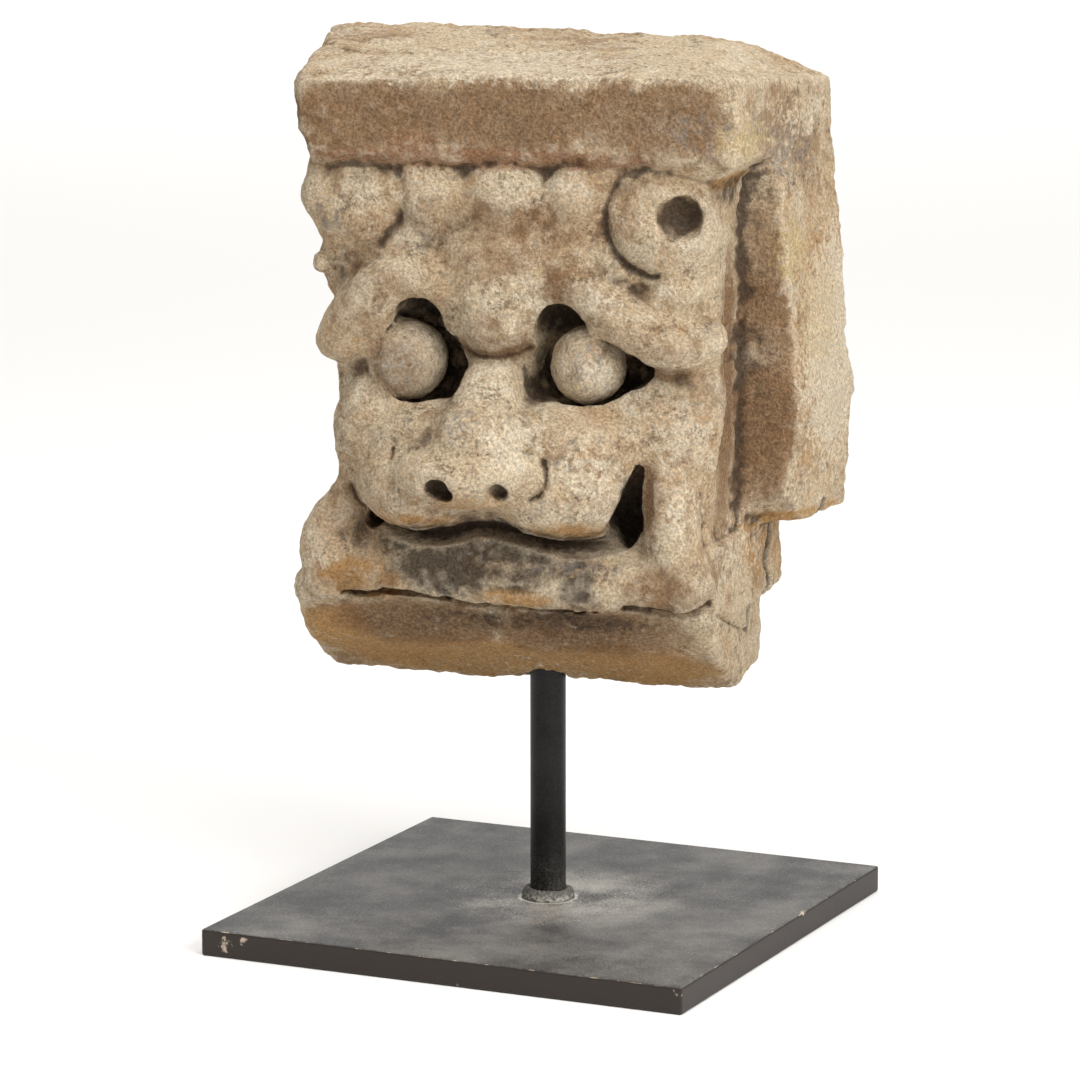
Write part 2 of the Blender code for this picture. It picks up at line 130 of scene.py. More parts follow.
LEFT_BROW = (
    Knot(-0.30, -0.04, 0.46, 0.12),
    Knot(-0.41, -0.01, 0.53, 0.13),
    Knot(-0.53, 0.00, 0.51, 0.14),
    Knot(-0.65, 0.00, 0.42, 0.15),
    Knot(-0.76, -0.02, 0.30, 0.15),
    Knot(-0.84, -0.04, 0.23, 0.115),
)
RIGHT_BROW = (
    Knot(0.27, -0.03, 0.54, 0.11),
    Knot(0.46, 0.00, 0.45, 0.125),
    Knot(0.64, 0.01, 0.33, 0.135),
    Knot(0.81, 0.00, 0.27, 0.135),
    Knot(0.94, -0.06, 0.28, 0.11),
)
EYES = (
    Lump(-0.52, -0.09, 0.135, 0.20, 0.20, 0.195),
    Lump(0.375, -0.075, 0.14, 0.18, 0.185, 0.185),
)

SOCKETS = (
    Lump(-0.455, -0.09, 0.14, 0.26, 0.26, 0.23),
    Lump(-0.43, -0.05, 0.32, 0.12, 0.25, 0.15),
    Lump(0.375, -0.09, 0.13, 0.27, 0.26, 0.205),
    Lump(0.27, -0.05, 0.30, 0.14, 0.25, 0.15),
    Lump(0.61, -0.09, 0.14, 0.10, 0.20, 0.11),
)
EAR_HOLE = Lump(0.855, 0.14, 0.845, 0.125, 0.17, 0.12)
NOSTRILS = (
    Lump(-0.22, 0.48, -0.38, 0.07, 0.14, 0.055),
    Lump(-0.19, 0.48, -0.40, 0.05, 0.15, 0.045),
    Lump(0.065, 0.48, -0.395, 0.055, 0.15, 0.055),
)
MOUTH = (
    Knot(-0.66, 0.04, -0.57, 0.040),
    Knot(-0.40, 0.12, -0.66, 0.045),
    Knot(-0.05, 0.14, -0.61, 0.045),
    Knot(0.34, 0.12, -0.685, 0.045),
    Knot(0.58, 0.08, -0.65, 0.050),
)
MOUTH_RIGHT_CORNER = (
    Knot(0.665, 0.03, -0.27, 0.022),
    Knot(0.645, 0.03, -0.36, 0.038),
    Knot(0.605, 0.00, -0.46, 0.062),
    Knot(0.560, -0.07, -0.56, 0.090),
    Knot(0.585, -0.08, -0.66, 0.050),
)
MOUTH_LEFT_CORNER = Lump(-0.665, -0.04, -0.61, 0.045, 0.20, 0.045)
LIP_CREASE = (
    Knot(-0.86, 0.02, -0.93, 0.020),
    Knot(-0.70, 0.03, -0.965, 0.026),
    Knot(-0.60, 0.04, -0.93, 0.028),
    Knot(-0.45, 0.04, -0.93, 0.030),
    Knot(-0.32, 0.04, -0.955, 0.032),
    Knot(-0.16, 0.05, -0.98, 0.032),
    Knot(0.12, 0.05, -0.985, 0.032),
    Knot(0.38, 0.05, -0.965, 0.030),
    Knot(0.58, 0.04, -0.945, 0.028),
    Knot(0.75, 0.03, -0.985, 0.028),
    Knot(0.86, 0.03, -0.985, 0.026),
    Knot(0.98, 0.00, -0.94, 0.035),
)
NOSE_GROOVE = (
    Knot(0.27, 0.39, -0.29, 0.03),
    Knot(0.29, 0.40, -0.38, 0.03),
    Knot(0.25, 0.42, -0.46, 0.03),
)

# How many times deeper than wide a slot's pellets are
SLOT_STRETCH = 3.0

# Lines cut with a narrow tool. A face line runs over (across, up) and goes into the face. A side line runs
# over (millimetres behind the face, millimetres above the underside) and goes in from the right. The deep side
# line is the crack at the back of the jaw.
Line = namedtuple("Line", "points wide_mm deep_mm")

FACE_LINES = (
    Line(((-0.47, -0.24), (-0.46, -0.36), (-0.38, -0.42), (-0.29, -0.44)), 2.2, 1.0),
    Line(((-0.50, -0.24), (-0.50, -0.30)), 2.2, 2.4),
    Line(((0.25, -0.26), (0.27, -0.34), (0.25, -0.40), (0.20, -0.43)), 2.6, 2.8),
    Line(((0.10, -0.45), (0.18, -0.43), (0.24, -0.40)), 2.4, 1.0),
    Line(((-0.22, -0.82), (-0.15, -0.86), (0, -0.88), (0.14, -0.86), (0.27, -0.81), (0.39, -0.76)), 2.4, 0.9),
    Line(((0.31, -0.28), (0.35, -0.33), (0.34, -0.38), (0.38, -0.42)), 1.6, 0.8),
    Line(((-0.76, -0.46), (-0.72, -0.53), (-0.65, -0.60)), 4.5, 3.5),
    Line(((-0.51, 1.0), (-0.49, 0.89), (-0.52, 0.80), (-0.60, 0.70)), 5.0, 2.2),
    Line(((0.53, 0.98), (0.49, 0.88), (0.49, 0.77), (0.55, 0.66), (0.64, 0.60), (0.73, 0.57)), 4.0, 2.6),
    Line(((0.66, -0.60), (0.70, -0.48), (0.68, -0.32)), 5.0, 2.0),
    Line(((-0.24, 0.24), (-0.15, 0.19), (-0.03, 0.18), (0.10, 0.22)), 4.5, 3.0),
)
SIDE_LINES = (
    Line(((90, 79), (96, 66), (91, 52), (94, 42), (88, 34), (80, 22)), 4.2, 10.0),
    Line(((80, 22), (60, 27), (30, 36), (6, 44)), 1.8, 1.6),
)

# Noise in the surface, by its height and the size of its lumps
Grain = namedtuple("Grain", "height_mm size_mm seed")

# The sunk strip on the right side between the head and the moulding: heights above the underside, and how far
# behind the face the strip's front edge is there, all in millimetres
CHANNEL_HEIGHTS = (74, 90, 110, 130, 150, 200, 225)
CHANNEL_FRONTS = (1, 1, 8, 16, 18, 18, 44)
CHANNEL_BACK = 50.5
CHANNEL_TOP = 228
CHANNEL_DEPTH = 3.0
CHANNEL_WANDER = Grain(2.5, 30, 31)

# How wide the strip's front, back, lower and upper edges slope, in millimetres
CHANNEL_SLOPES = (2.5, 1.5, 3, 4)

# Wear: rounds of smoothing in the inner corners and on the arrises, the size of the soft spots, and the shares
# of the wear that the slab's foot, and the ledge and the moulding, are spared
CREASE_ROUNDS = 45
ARRIS_ROUNDS = 10
SOFT_SPOTS = 11 * MM
SLAB_FOOT_SPARED = 0.7
LEDGE_SPARED = 0.56

# The rough surface: how much calmer its lumps are on the ledge, and how much rougher it is off the carving
LUMPS = (Grain(0.70, 20, 0), Grain(0.45, 8.5, 9))
GRIT = (Grain(0.45, 4.2, 4), Grain(0.32, 2.8, 14))
LEDGE_CALM = 0.5
ROUGHER_OUTSIDE = 0.7

# Hollows are judged against a little and a lot of smoothing, for the painted shade and dirt that darken them.
# These are the depths that count in full.
NEAR_ROUNDS = 8
FAR_ROUNDS = 60
NEAR_HOLLOW = 2.4 * MM
FAR_HOLLOW = 5.0 * MM
FULL_CREST = 1.0 * MM

# The weld bead: the share of its reach that its tube takes, and how high its ripples and its unevenness are,
# as shares of its height
BEAD_TUBE = 2 / 3
BEAD_RIPPLE = 0.08
BEAD_UNEVEN = 0.15


def linear(hex_colour):
    """An sRGB hex colour in linear light."""
    channels = (int(hex_colour[at:at + 2], 16) / 255 for at in (1, 3, 5))
    return tuple(c / 12.92 if c <= 0.04045 else ((c + 0.055) / 1.055) ** 2.4 for c in channels)


def length(name, default, description):
    return FloatProperty(name=name, description=description, default=default, unit="LENGTH", precision=4)


def colour(name, hex_colour, description):
    default = linear(hex_colour)
    return FloatVectorProperty(name=name, description=description, default=default, size=3, subtype="COLOR")


class StoneSizes(PropertyGroup):
    turn: FloatProperty(
        name="Turn",
        description="How far the stone is turned on its rod",
        default=math.radians(10),
        subtype="ANGLE",
    )
    lift: length("Lift", 0.100, "Height of the stone's underside over the plate")
    face_width: length("Face width", 0.183, "Width of the carved face")
    face_height: length("Face height", 0.188, "Height of the carved face")
    face_to_rod: length("Face to rod", 0.055, "Distance from the face's plane to the rod's axis")
    face_shift: length("Face shift", -0.0035, "How far the face's middle is from the rod, across the face")
    depth: length("Depth", 0.121, "Depth of the block from the face's plane to its back")
    ledge_height: length("Ledge height", 0.043, "Height of the plain foot below the face")
    quirk_height: length("Quirk height", 0.009, "Height of the sloping strip between the face and the slab")
    seat_depth: length("Seat depth", 0.060, "Depth of the drilled seat for the rod")
    seat_gap: length("Seat gap", 0.0003, "Clearance between the rod and its seat")
    cut_back: length("Cut back", 0.0008, "How far the face is cut back before it is carved afresh")
    grain: length("Carving grain", 0.0012, "Size of the finest carved step")
    triangles: IntProperty(name="Triangles", description="Most triangles the stone may keep", default=190000)


class StoneColours(PropertyGroup):
    pale: colour("Pale", "#d0bb9b", "Clean weathered sandstone")
    warm: colour("Warm", "#b99771", "Sandstone with more iron in it")
    brown: colour("Brown", "#8a6847", "Old dirt in the surface")
    # Specks of darker dirt; this colour also paints the shade in the hollows
    umber: colour("Umber", "#523c28", "Specks of darker dirt")
    # Crusts of lime; this colour also paints light on the ledge's lower band
    cream: colour("Cream", "#e3d4ba", "Crusts of lime")
    # Fresher broken sandstone; this colour also paints warm bounce light on faces that look down
    ochre: colour("Ochre", "#bc9059", "Fresher broken sandstone")
    slate: colour("Slate", "#8b8279", "Blue-grey crust")
    # Soot, and also painted shade: it darkens the hollows, the mouth under the muzzle, the ledge under the lip
    # and the cracks
    soot_and_shade: colour("Soot", "#3b3129", "Soot in the hollows")
    lichen: colour("Lichen", "#cdb27a", "Yellow lichen")
    rust: colour("Rust", "#9c7152", "Reddish strip below the slab")


class StandFinish(PropertyGroup):
    paint: colour("Paint", "#2a2827", "Black paint on the plate")
    rod_paint: colour("Rod paint", "#0c0b0a", "Black paint on the rod")
    edge: colour("Edge", "#22170f", "Dirty paint on the plate's edges")
    dust: colour("Dust", "#beb8ad", "Stone dust")
    chip: colour("Chip", "#c9b6a0", "Primer that shows where the paint is chipped")
    flux: colour("Flux", "#d8d3ca", "Pale rim round the weld, and single specks of dust")
    bead_diameter: length("Bead diameter", 0.024, "Outer diameter of the weld bead")
    bead_height: length("Bead height", 0.0045, "Height of the weld bead")
    ripples: IntProperty(name="Ripples", description="Ripples round the weld bead", default=26)


class StageSettings(PropertyGroup):
    azimuth: FloatProperty(
        name="Azimuth",
        description="Where the camera stands round the stand",
        default=math.radians(24.93),
        subtype="ANGLE",
    )
    elevation: FloatProperty(
        name="Elevation",
        description="How far above the horizon the camera stands",
        default=math.radians(10.53),
        subtype="ANGLE",
    )
    roll: FloatProperty(
        name="Roll",
        description="Tilt of the camera",
        default=math.radians(-0.06),
        subtype="ANGLE",
    )
    distance: length("Distance", 2.2155, "Distance from the camera to the middle of the picture")
    aim_height: length("Aim height", 0.200, "Height of the point that the camera looks past")
    aim_right: length("Aim right", -0.0035, "How far the camera is moved to the right")
    aim_up: length("Aim up", -0.0242, "How far the camera is moved up")
    lens: FloatProperty(name="Lens", description="Focal length in millimetres", default=166.43)
    floor_size: length("Floor size", 24.0, "Side of the floor")
    floor_colour: colour("Floor colour", "#f1efec", "Pale studio floor")


Block = namedtuple("Block", "shift half_width half_height front back foot crown left right slab")


def block_of(sizes):
    """The places of the stone's block, in its own axes."""
    half_width = sizes.face_width / 2
    crown = sizes.ledge_height + sizes.face_height
    return Block(
        shift=sizes.face_shift,
        half_width=half_width,
        half_height=sizes.face_height / 2,
        front=-sizes.face_to_rod,
        back=sizes.depth - sizes.face_to_rod,
        foot=sizes.ledge_height,
        crown=crown,
        left=sizes.face_shift - half_width,
        right=sizes.face_shift + half_width,
        slab=crown + sizes.quirk_height,
    )


def stone_place(sizes):
    """Where the stone's axes stand in the frame."""
    plate_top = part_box("base_plate")[1].z
    return Matrix.Translation((0, 0, plate_top + sizes.lift)) @ Matrix.Rotation(sizes.turn, 4, "Z")


def on_face(block, across, out, up):
    """A point of the carving in the stone's axes."""
    return Vector((
        block.shift + across * block.half_width,
        block.front - out * block.half_width,
        block.foot + (up + 1) * block.half_height,
    ))


def take(obj):
    """obj alone is selected and active."""
    bpy.ops.object.select_all(action="DESELECT")
    obj.select_set(True)
    bpy.context.view_layer.objects.active = obj


def apply_modifiers(obj):
    take(obj)
    for modifier in list(obj.modifiers):
        bpy.ops.object.modifier_apply(modifier=modifier.name)


def new_object(name):
    """An empty mesh object at the origin, in edit mode, to which primitives are added."""
    bpy.ops.object.select_all(action="DESELECT")
    bpy.ops.object.add(type="MESH", location=(0, 0, 0))
    obj = bpy.context.active_object
    obj.name = name
    obj.data.name = name
    bpy.ops.object.mode_set(mode="EDIT")
    return obj


def press_egg(centre, radii):
    """One pellet of the carving, an egg shape, in the object that is being edited."""
    bpy.ops.mesh.primitive_ico_sphere_add(subdivisions=3, radius=1.0, location=centre, scale=radii)


def press_lump(block, lump):
    radii = (lump.wide * block.half_width, lump.deep * block.half_width, lump.tall * block.half_height)
    press_egg(on_face(block, lump.across, lump.out, lump.up), radii)


def between(before, start, end, after, share):
    """One value of the smooth curve that runs from start to end, as its neighbours on both sides steer it."""
    return 0.5 * (
        2 * start
        + (end - before) * share
        + (2 * before - 5 * start + 4 * end - after) * share**2
        + (3 * start - before - 3 * end + after) * share**3
    )


def smooth_path(points, steps=8):
    """Points along a smooth path through the given ones, which may have any number of values each."""
    ends = (points[0], *points, points[-1])
    path = []
    for first in range(len(points) - 1):
        four = ends[first:first + 4]
        path += [tuple(between(*values, step / steps) for values in zip(*four)) for step in range(steps)]
    return path + [tuple(points[-1])]


def press_roll(block, knots, stretch=1.0):
    """A roll of pellets along the knots, each stretched into the stone."""
    for across, out, up, share in smooth_path(knots):
        radius = share * block.half_width
        press_egg(on_face(block, across, out, up), (radius, radius * stretch, radius))


def one_skin(obj, grain, name="One skin"):
    remesh = obj.modifiers.new(name, "REMESH")
    remesh.mode = "VOXEL"
    remesh.voxel_size = grain


def carve(stone, name, operation, block, grain, lumps=(), rolls=(), slots=()):
    """Adds forms to the stone or takes them out: lumps, round rolls, and slots, which are deep rolls."""
    helper = new_object(name)
    for lump in lumps:
        press_lump(block, lump)
    for knots in rolls:
        press_roll(block, knots)
    for knots in slots:
        press_roll(block, knots, SLOT_STRETCH)
    bpy.ops.object.mode_set(mode="OBJECT")
    one_skin(helper, grain)
    apply_modifiers(helper)
    # The exact solver loses whole forms here, and all these skins are closed
    boolean = stone.modifiers.new(name, "BOOLEAN")
    boolean.operation = operation
    boolean.object = helper
    boolean.solver = "MANIFOLD"
    apply_modifiers(stone)
    bpy.data.objects.remove(helper)


def blocked_out_stone(sizes):
    """The frame's stone in its own axes, merged, skinned at the carving's grain and freed of its facets."""
    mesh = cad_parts["stone_corbel"].data.copy()
    mesh.transform(stone_place(sizes).inverted())
    stone = bpy.data.objects.new("weathered_stone", mesh)
    bpy.context.scene.collection.objects.link(stone)
    take(stone)
    bpy.ops.object.mode_set(mode="EDIT")
    bpy.ops.mesh.select_all(action="SELECT")
    bpy.ops.mesh.remove_doubles(threshold=SAME_POINT)
    bpy.ops.object.mode_set(mode="OBJECT")
    one_skin(stone, sizes.grain)
    soften = stone.modifiers.new("Over the facets", "SMOOTH")
    soften.iterations = 4
    apply_modifiers(stone)
    return stone


def read_points(mesh):
    points = np.empty(3 * len(mesh.vertices))
    mesh.vertices.foreach_get("co", points)
    return points.reshape(-1, 3)


def read_normals(mesh):
    normals = np.empty(3 * len(mesh.vertices), np.float32)
    mesh.vertex_normals.foreach_get("vector", normals)
    return normals.reshape(-1, 3).astype(float)


def read_edges(mesh):
    edges = np.empty(2 * len(mesh.edges), np.int32)
    mesh.edges.foreach_get("vertices", edges)
    return edges.reshape(-1, 2)


def write_points(mesh, points):
    mesh.vertices.foreach_set("co", points.astype(np.float32).ravel())
    mesh.update()


def relaxed(points, edges, rounds):
    """The points after so many rounds in which each goes to the middle of its neighbours."""
    count = len(points)
    ends = np.concatenate([edges[:, 0], edges[:, 1]])
    others = np.concatenate([edges[:, 1], edges[:, 0]])
    neighbours = np.bincount(ends, minlength=count)[:, None]
    for _ in range(rounds):
        sums = [np.bincount(ends, weights=points[others, axis], minlength=count) for axis in range(3)]
        points = np.stack(sums, axis=1) / neighbours
    return points


def noise_at(points, grain, seed=0.0):
    """Smooth noise from about -1 to 1 at each point, with lumps about as wide as grain."""
    return np.array([noise.noise(point) for point in (points / grain + seed).tolist()])


def ramp(values, low, high):
    """0 below low, 1 above high, and smooth between."""
    share = np.clip((values - low) / (high - low), 0, 1)
    return share * share * (3 - 2 * share)


def fade(values, low, high):
    """1 below low, 0 above high, and smooth between."""
    return 1 - ramp(values, low, high)


def relief(points, grains):
    """How high the noise of all these grains stands at each point."""
    return sum(grain.height_mm * MM * noise_at(points, grain.size_mm * MM, grain.seed) for grain in grains)


def on_right_side(points, normals, block):
    """How far each point lies on the head's right side and looks right."""
    return ramp(normals[:, 0], 0.3, 0.6) * ramp(points[:, 0], block.right - 12 * MM, block.right - 6 * MM)


def distance_to_path(places, path):
    """How far each place in a plane is from a path of short straight runs."""
    best = np.full(len(places), np.inf)
    for start, end in zip(path, path[1:]):
        run = np.subtract(end, start)
        share = np.clip(((places - start) @ run) / (run @ run), 0, 1)
        gap = places - (start + share[:, None] * run)
        best = np.minimum(best, np.hypot(gap[:, 0], gap[:, 1]))
    return best


def distance_to_side_line(points, block, line):
    path = [(block.front + behind * MM, above * MM) for behind, above in smooth_path(line.points, 4)]
    return distance_to_path(points[:, [1, 2]], path)


def cut_back_face(stone, sizes, block):
    """Moves the old face in, so that nothing of its facets stands over the fresh carving."""
    points = read_points(stone.data)
    inside = fade(points[:, 1], block.front + 22 * MM, block.front + 30 * MM)
    inside *= ramp(points[:, 2], block.foot + 4 * MM, block.foot + 8 * MM)
    inside *= fade(points[:, 2], block.crown - 4 * MM, block.crown)
    inside *= fade(points[:, 0], block.right - 2 * MM, block.right + 2 * MM)
    points -= read_normals(stone.data) * (inside * sizes.cut_back)[:, None]
    write_points(stone.data, points)


def fill_creases(stone, block):
    """Rounds every inner corner of the head, as on a worn carving, and leaves what stands proud."""
    points = read_points(stone.data)
    blurred = relaxed(points, read_edges(stone.data), CREASE_ROUNDS)
    hollow = np.einsum("ij,ij->i", blurred - points, read_normals(stone.data))
    share = ramp(hollow, 0, 0.8 * MM) * fade(points[:, 1], block.front + 10 * MM, block.front + 20 * MM)
    share *= ramp(points[:, 2], block.foot + 14 * MM, block.foot + 24 * MM)
    share *= fade(points[:, 2], block.crown - 8 * MM, block.crown)
    points += (blurred - points) * share[:, None]
    write_points(stone.data, points)


def cut_lines(points, normals, block):
    """Cuts the narrow lines into the face and into the right side."""
    looks_front = ramp(-normals[:, 1], 0.1, 0.5) * fade(points[:, 1], block.front, block.front + 20 * MM)
    flat = points[:, [0, 2]]
    for line in FACE_LINES:
        path = [
            (block.shift + across * block.half_width, block.foot + (up + 1) * block.half_height)
            for across, up in smooth_path(line.points, 4)
        ]
        depth = fade(distance_to_path(flat, path), 0, line.wide_mm * MM)
        points[:, 1] += depth * looks_front * line.deep_mm * MM

    looks_right = on_right_side(points, normals, block)
    for line in SIDE_LINES:
        depth = fade(distance_to_side_line(points, block, line), 0, line.wide_mm * MM)
        points[:, 0] -= depth * looks_right * line.deep_mm * MM


def sink_channel(points, normals, block):
    """Sinks the strip on the right side between the head and the moulding."""
    behind = (points[:, 1] - block.front + relief(points, (CHANNEL_WANDER,))) / MM
    above = points[:, 2] / MM
    front_edge = np.interp(above, CHANNEL_HEIGHTS, CHANNEL_FRONTS)
    front, back, lower, upper = CHANNEL_SLOPES
    sunk = ramp(behind, front_edge, front_edge + front) * fade(behind, CHANNEL_BACK - back, CHANNEL_BACK)
    sunk *= ramp(above, CHANNEL_HEIGHTS[0] - lower, CHANNEL_HEIGHTS[0])
    sunk *= fade(above, CHANNEL_TOP, CHANNEL_TOP + upper)
    points[:, 0] -= sunk * on_right_side(points, normals, block) * CHANNEL_DEPTH * MM


def wear_arrises(points, normals, edges, block, ledge):
    """Takes more off the arrises in soft spots, and less at the slab's foot, the ledge and the moulding."""
    blurred = relaxed(points, edges, ARRIS_ROUNDS)
    proud = np.einsum("ij,ij->i", points - blurred, normals)
    loss = ramp(noise_at(points, SOFT_SPOTS), -0.25, 0.45) * ramp(proud, 0, 0.5 * MM)
    slab_foot = ramp(points[:, 2], block.crown, block.slab)
    slab_foot *= fade(points[:, 2], block.slab, block.slab + 10 * MM)
    moulding = ramp(points[:, 0], block.right + 3 * MM, block.right + 7 * MM)
    spared = np.maximum(SLAB_FOOT_SPARED * slab_foot, LEDGE_SPARED * np.maximum(ledge, moulding))
    points += (blurred - points) * (loss * (1 - spared))[:, None]


def roughen(points, normals, block, ledge):
    """Raises lumps and grit all over, higher on the slab, the back and the sides than on the carving."""
    carving = fade(points[:, 1], block.front + 10 * MM, block.front + 20 * MM)
    carving *= ramp(points[:, 2], block.foot, block.foot + 10 * MM)
    carving *= fade(points[:, 2], block.crown, block.slab)
    lumps = relief(points, LUMPS) * (1 - LEDGE_CALM * ledge)
    height = (lumps + relief(points, GRIT)) * (1 + ROUGHER_OUTSIDE * (1 - carving))
    points += normals * height[:, None]


def weather(stone, block):
    """Wears the arrises, sinks the channel, cuts the narrow lines and roughens the surface."""
    points = read_points(stone.data)
    normals = read_normals(stone.data)
    ledge = fade(points[:, 2], block.foot - 10 * MM, block.foot)
    wear_arrises(points, normals, read_edges(stone.data), block, ledge)
    sink_channel(points, normals, block)
    cut_lines(points, normals, block)
    roughen(points, normals, block, ledge)
    write_points(stone.data, points)


def thin_out(stone, sizes):
    """Fewer triangles where the surface is plain."""
    stone.data.calc_loop_triangles()
    count = len(stone.data.loop_triangles)
    decimate = stone.modifiers.new("Fewer faces", "DECIMATE")
    decimate.ratio = min(1.0, sizes.triangles / count)
    apply_modifiers(stone)


def drill_seat(stone, sizes):
    """The round seat in the underside that the rod goes into."""
    rod_low, rod_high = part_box("rod")
    radius = (rod_high.x - rod_low.x) / 2 + sizes.seat_gap
    depth = sizes.seat_depth + sizes.seat_gap
    bpy.ops.object.select_all(action="DESELECT")
    bpy.ops.mesh.primitive_cylinder_add(vertices=48, radius=radius, depth=2 * depth, location=(0, 0, 0))
    drill = bpy.context.active_object
    boolean = stone.modifiers.new("Seat", "BOOLEAN")
    boolean.operation = "DIFFERENCE"
    boolean.object = drill
    boolean.solver = "MANIFOLD"
    apply_modifiers(stone)
    bpy.data.objects.remove(drill)


# Stains, in shares of the face like the carving, as soft egg-shaped regions of the surface. Some of them are
# painted shade and painted light, as marked
Stain = namedtuple("Stain", "across out up wide deep tall strength")

